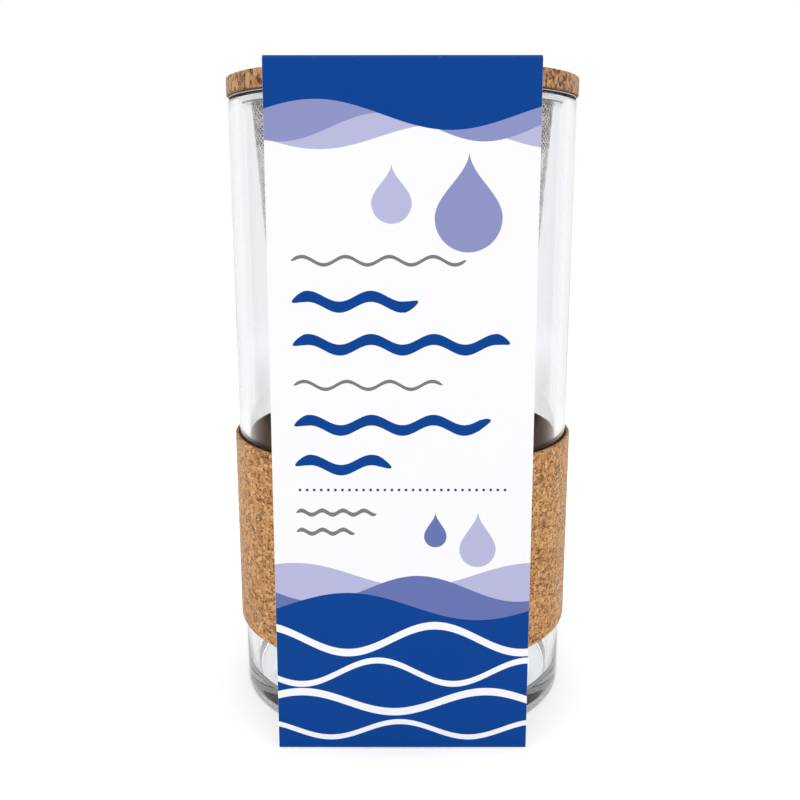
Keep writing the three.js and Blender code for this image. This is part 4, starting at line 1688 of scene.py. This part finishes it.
class HERBGARDEN_OT_stage(bpy.types.Operator):
    """Sets the floor, the white surround, the soft lamps and the camera"""
    bl_idname = "herb_garden.stage"
    bl_label = "Stage"
    bl_options = {"REGISTER", "UNDO"}

    def execute(self, context):
        scene = context.scene
        stage = scene.herb_garden.stage
        scene.view_settings.view_transform = "Standard"
        self.camera(scene, stage)
        self.surround(scene, stage)
        self.floor(scene, stage)
        for name, place, wide, high, power_name, shown in STAGE_LAMPS:
            made = self.lamp(scene, name, place, wide, high, getattr(stage, power_name))
            made.visible_glossy = shown
            made.visible_transmission = shown
        return {"FINISHED"}

    def camera(self, scene, stage):
        """The camera at the photo's place, looking a little down."""
        data = bpy.data.cameras.new("view")
        data.lens = stage.lens
        data.sensor_width = 36
        data.shift_x = -IMAGE_SHIFT / IMAGE_WIDTH
        data.clip_start = 0.01
        made = bpy.data.objects.new("view", data)
        made.location = (0, stage.camera_y, stage.camera_z)
        made.rotation_euler = (math.pi / 2 - stage.tilt, 0, 0)
        scene.collection.objects.link(made)
        scene.camera = made

    def rays(self, tree):
        """Masks of what is seen in view, through glass and in gloss, before light scatters."""
        path = add(tree, "LightPath").outputs
        unscattered = Field(tree, path["Diffuse Depth"]) < 0.5
        gloss = (Field(tree, path["Glossy Depth"]) > 0.5) * unscattered
        through = Field(tree, path["Is Transmission Ray"]) * unscattered * (1.0 - gloss)
        return Field(tree, path["Is Camera Ray"]), through, gloss

    def surround(self, scene, stage):
        """White all round in view and through glass; in gloss, a darker room behind the camera."""
        world = bpy.data.worlds.new("surround")
        scene.world = world
        world.use_nodes = True
        tree = world.node_tree
        camera, through, gloss = self.rays(tree)
        towards = split(tree, add(tree, "TexCoord").outputs["Generated"])[1]
        room = towards.ramp(*ROOM_EDGE) * (1.0 - stage.room) + stage.room
        plain = camera | through
        strength = plain + gloss * room + (1.0 - (plain | gloss)) * stage.sky
        background = tree.nodes["Background"]
        join(background.inputs["Color"], WHITE)
        join(background.inputs["Strength"], strength)

    def floor(self, scene, stage):
        corners = [(-1, -1), (1, -1), (1, 1), (-1, 1)]
        mesh = bpy.data.meshes.new("floor")
        mesh.from_pydata(
            [(FLOOR_HALF * x, FLOOR_HALF * y, 0) for x, y in corners], [], [(0, 1, 2, 3)])
        material, tree, shader, spot = surface("pale_floor")
        camera, through, gloss = self.rays(tree)
        x, y, _ = split(tree, spot)
        reach = span(x, y) | MM
        ring = reach.ramp(*SHADE_FROM) * (1.0 - reach.ramp(*SHADE_TO))
        aside = ring * (1.0 - abs(y / reach).ramp(0.25, 0.8))
        shaded = gloss * aside
        slant, deeper_share = 0.41, 0.7
        deeper = (abs(x) - y * slant).ramp(*SHADE_DEEPER_FROM)
        shade_tint = toned(tree, stage.room_shade, 1.0 - deeper * deeper_share)
        finish(
            shader, Base_Color=mixed(tree, shaded, stage.floor, shade_tint), Roughness=0.9,
            Specular_IOR_Level=0.0)
        white = add(tree, "Emission", Color=mixed(tree, shaded, WHITE, shade_tint))
        # Painted light: for rays through glass, the floor under the jar's back half is lifted
        # brighter, as if lit through the base
        lit_floor_under_jar = (1.0 - reach.ramp(*LIT_UNDER_JAR)) * y.ramp(*LIT_UNDER_JAR_FRONT)
        shown_lift, painted_light_lift = 0.6, 2.0
        lift = camera + (through | gloss) * shown_lift + through * lit_floor_under_jar * painted_light_lift
        join(white.inputs["Strength"], lift * stage.floor_glow)
        both = add(tree, "AddShader")
        join(both.inputs[0], shader.outputs[0])
        join(both.inputs[1], white.outputs[0])
        far_through = through * reach.ramp(*GLASS_WHITE_FROM)
        far_gloss = gloss * (1.0 - aside) * reach.ramp(*GLOSS_WHITE_FROM)
        seen = add(tree, "MixShader", Fac=far_through | far_gloss)
        join(seen.inputs[1], both.outputs[0])
        join(seen.inputs[2], add(tree, "Emission", Color=WHITE).outputs[0])
        join(tree.nodes["Material Output"].inputs["Surface"], seen.outputs[0])
        mesh.materials.append(material)
        made = bpy.data.objects.new("floor", mesh)
        scene.collection.objects.link(made)
        made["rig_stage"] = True

    def lamp(self, scene, name, place, wide, high, watts):
        data = bpy.data.lights.new(name, "AREA")
        data.shape = "RECTANGLE"
        data.size = wide
        data.size_y = high
        data.energy = watts
        made = bpy.data.objects.new(name, data)
        made.location = place
        made.rotation_euler = (LAMP_AIM - made.location).to_track_quat("-Z", "Y").to_euler()
        made.visible_camera = False
        scene.collection.objects.link(made)
        return made


OPERATORS = (
    HERBGARDEN_OT_stage, HERBGARDEN_OT_glass_jar, HERBGARDEN_OT_cork_band,
    HERBGARDEN_OT_cork_lid, HERBGARDEN_OT_net_pot, HERBGARDEN_OT_wick, HERBGARDEN_OT_coir_discs,
    HERBGARDEN_OT_seed_packets, HERBGARDEN_OT_leaflet, HERBGARDEN_OT_sachets,
    HERBGARDEN_OT_card_sleeve,
)
SETTINGS = (
    HerbGardenJar, HerbGardenCork, HerbGardenPot, HerbGardenKit, HerbGardenSleeve, HerbGardenStage,
    HerbGardenSettings,
)


class HERBGARDEN_PT_panel(bpy.types.Panel):
    """Lists the pieces of the herb garden and their settings"""
    bl_idname = "HERBGARDEN_PT_panel"
    bl_label = "Herb garden"
    bl_space_type = "VIEW_3D"
    bl_region_type = "UI"
    bl_category = "Herb garden"

    def draw(self, context):
        settings = context.scene.herb_garden
        for operator in OPERATORS:
            self.layout.operator(operator.bl_idname)
        for label in ("jar", "cork", "pot", "kit", "sleeve", "stage"):
            box = self.layout.box()
            box.label(text=label.capitalize())
            group = getattr(settings, label)
            for name in group.__annotations__:
                box.prop(group, name)


def register():
    """Registers the settings, the operators and the panel."""
    for kind in (*SETTINGS, *OPERATORS, HERBGARDEN_PT_panel):
        bpy.utils.register_class(kind)
    bpy.types.Scene.herb_garden = PointerProperty(type=HerbGardenSettings)


def unregister():
    """Removes what register added."""
    del bpy.types.Scene.herb_garden
    for kind in reversed((*SETTINGS, *OPERATORS, HERBGARDEN_PT_panel)):
        bpy.utils.unregister_class(kind)


def main():
    """Dresses every piece in order."""
    register()
    for operator in OPERATORS:
        group, name = operator.bl_idname.split(".")
        getattr(getattr(bpy.ops, group), name)()
    boxes = {"cad": CAD_BOX, "visual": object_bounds()}
    sizes = {key: [list(corner) for corner in box] for key, box in boxes.items()}


if __name__ == "__main__":
    main()
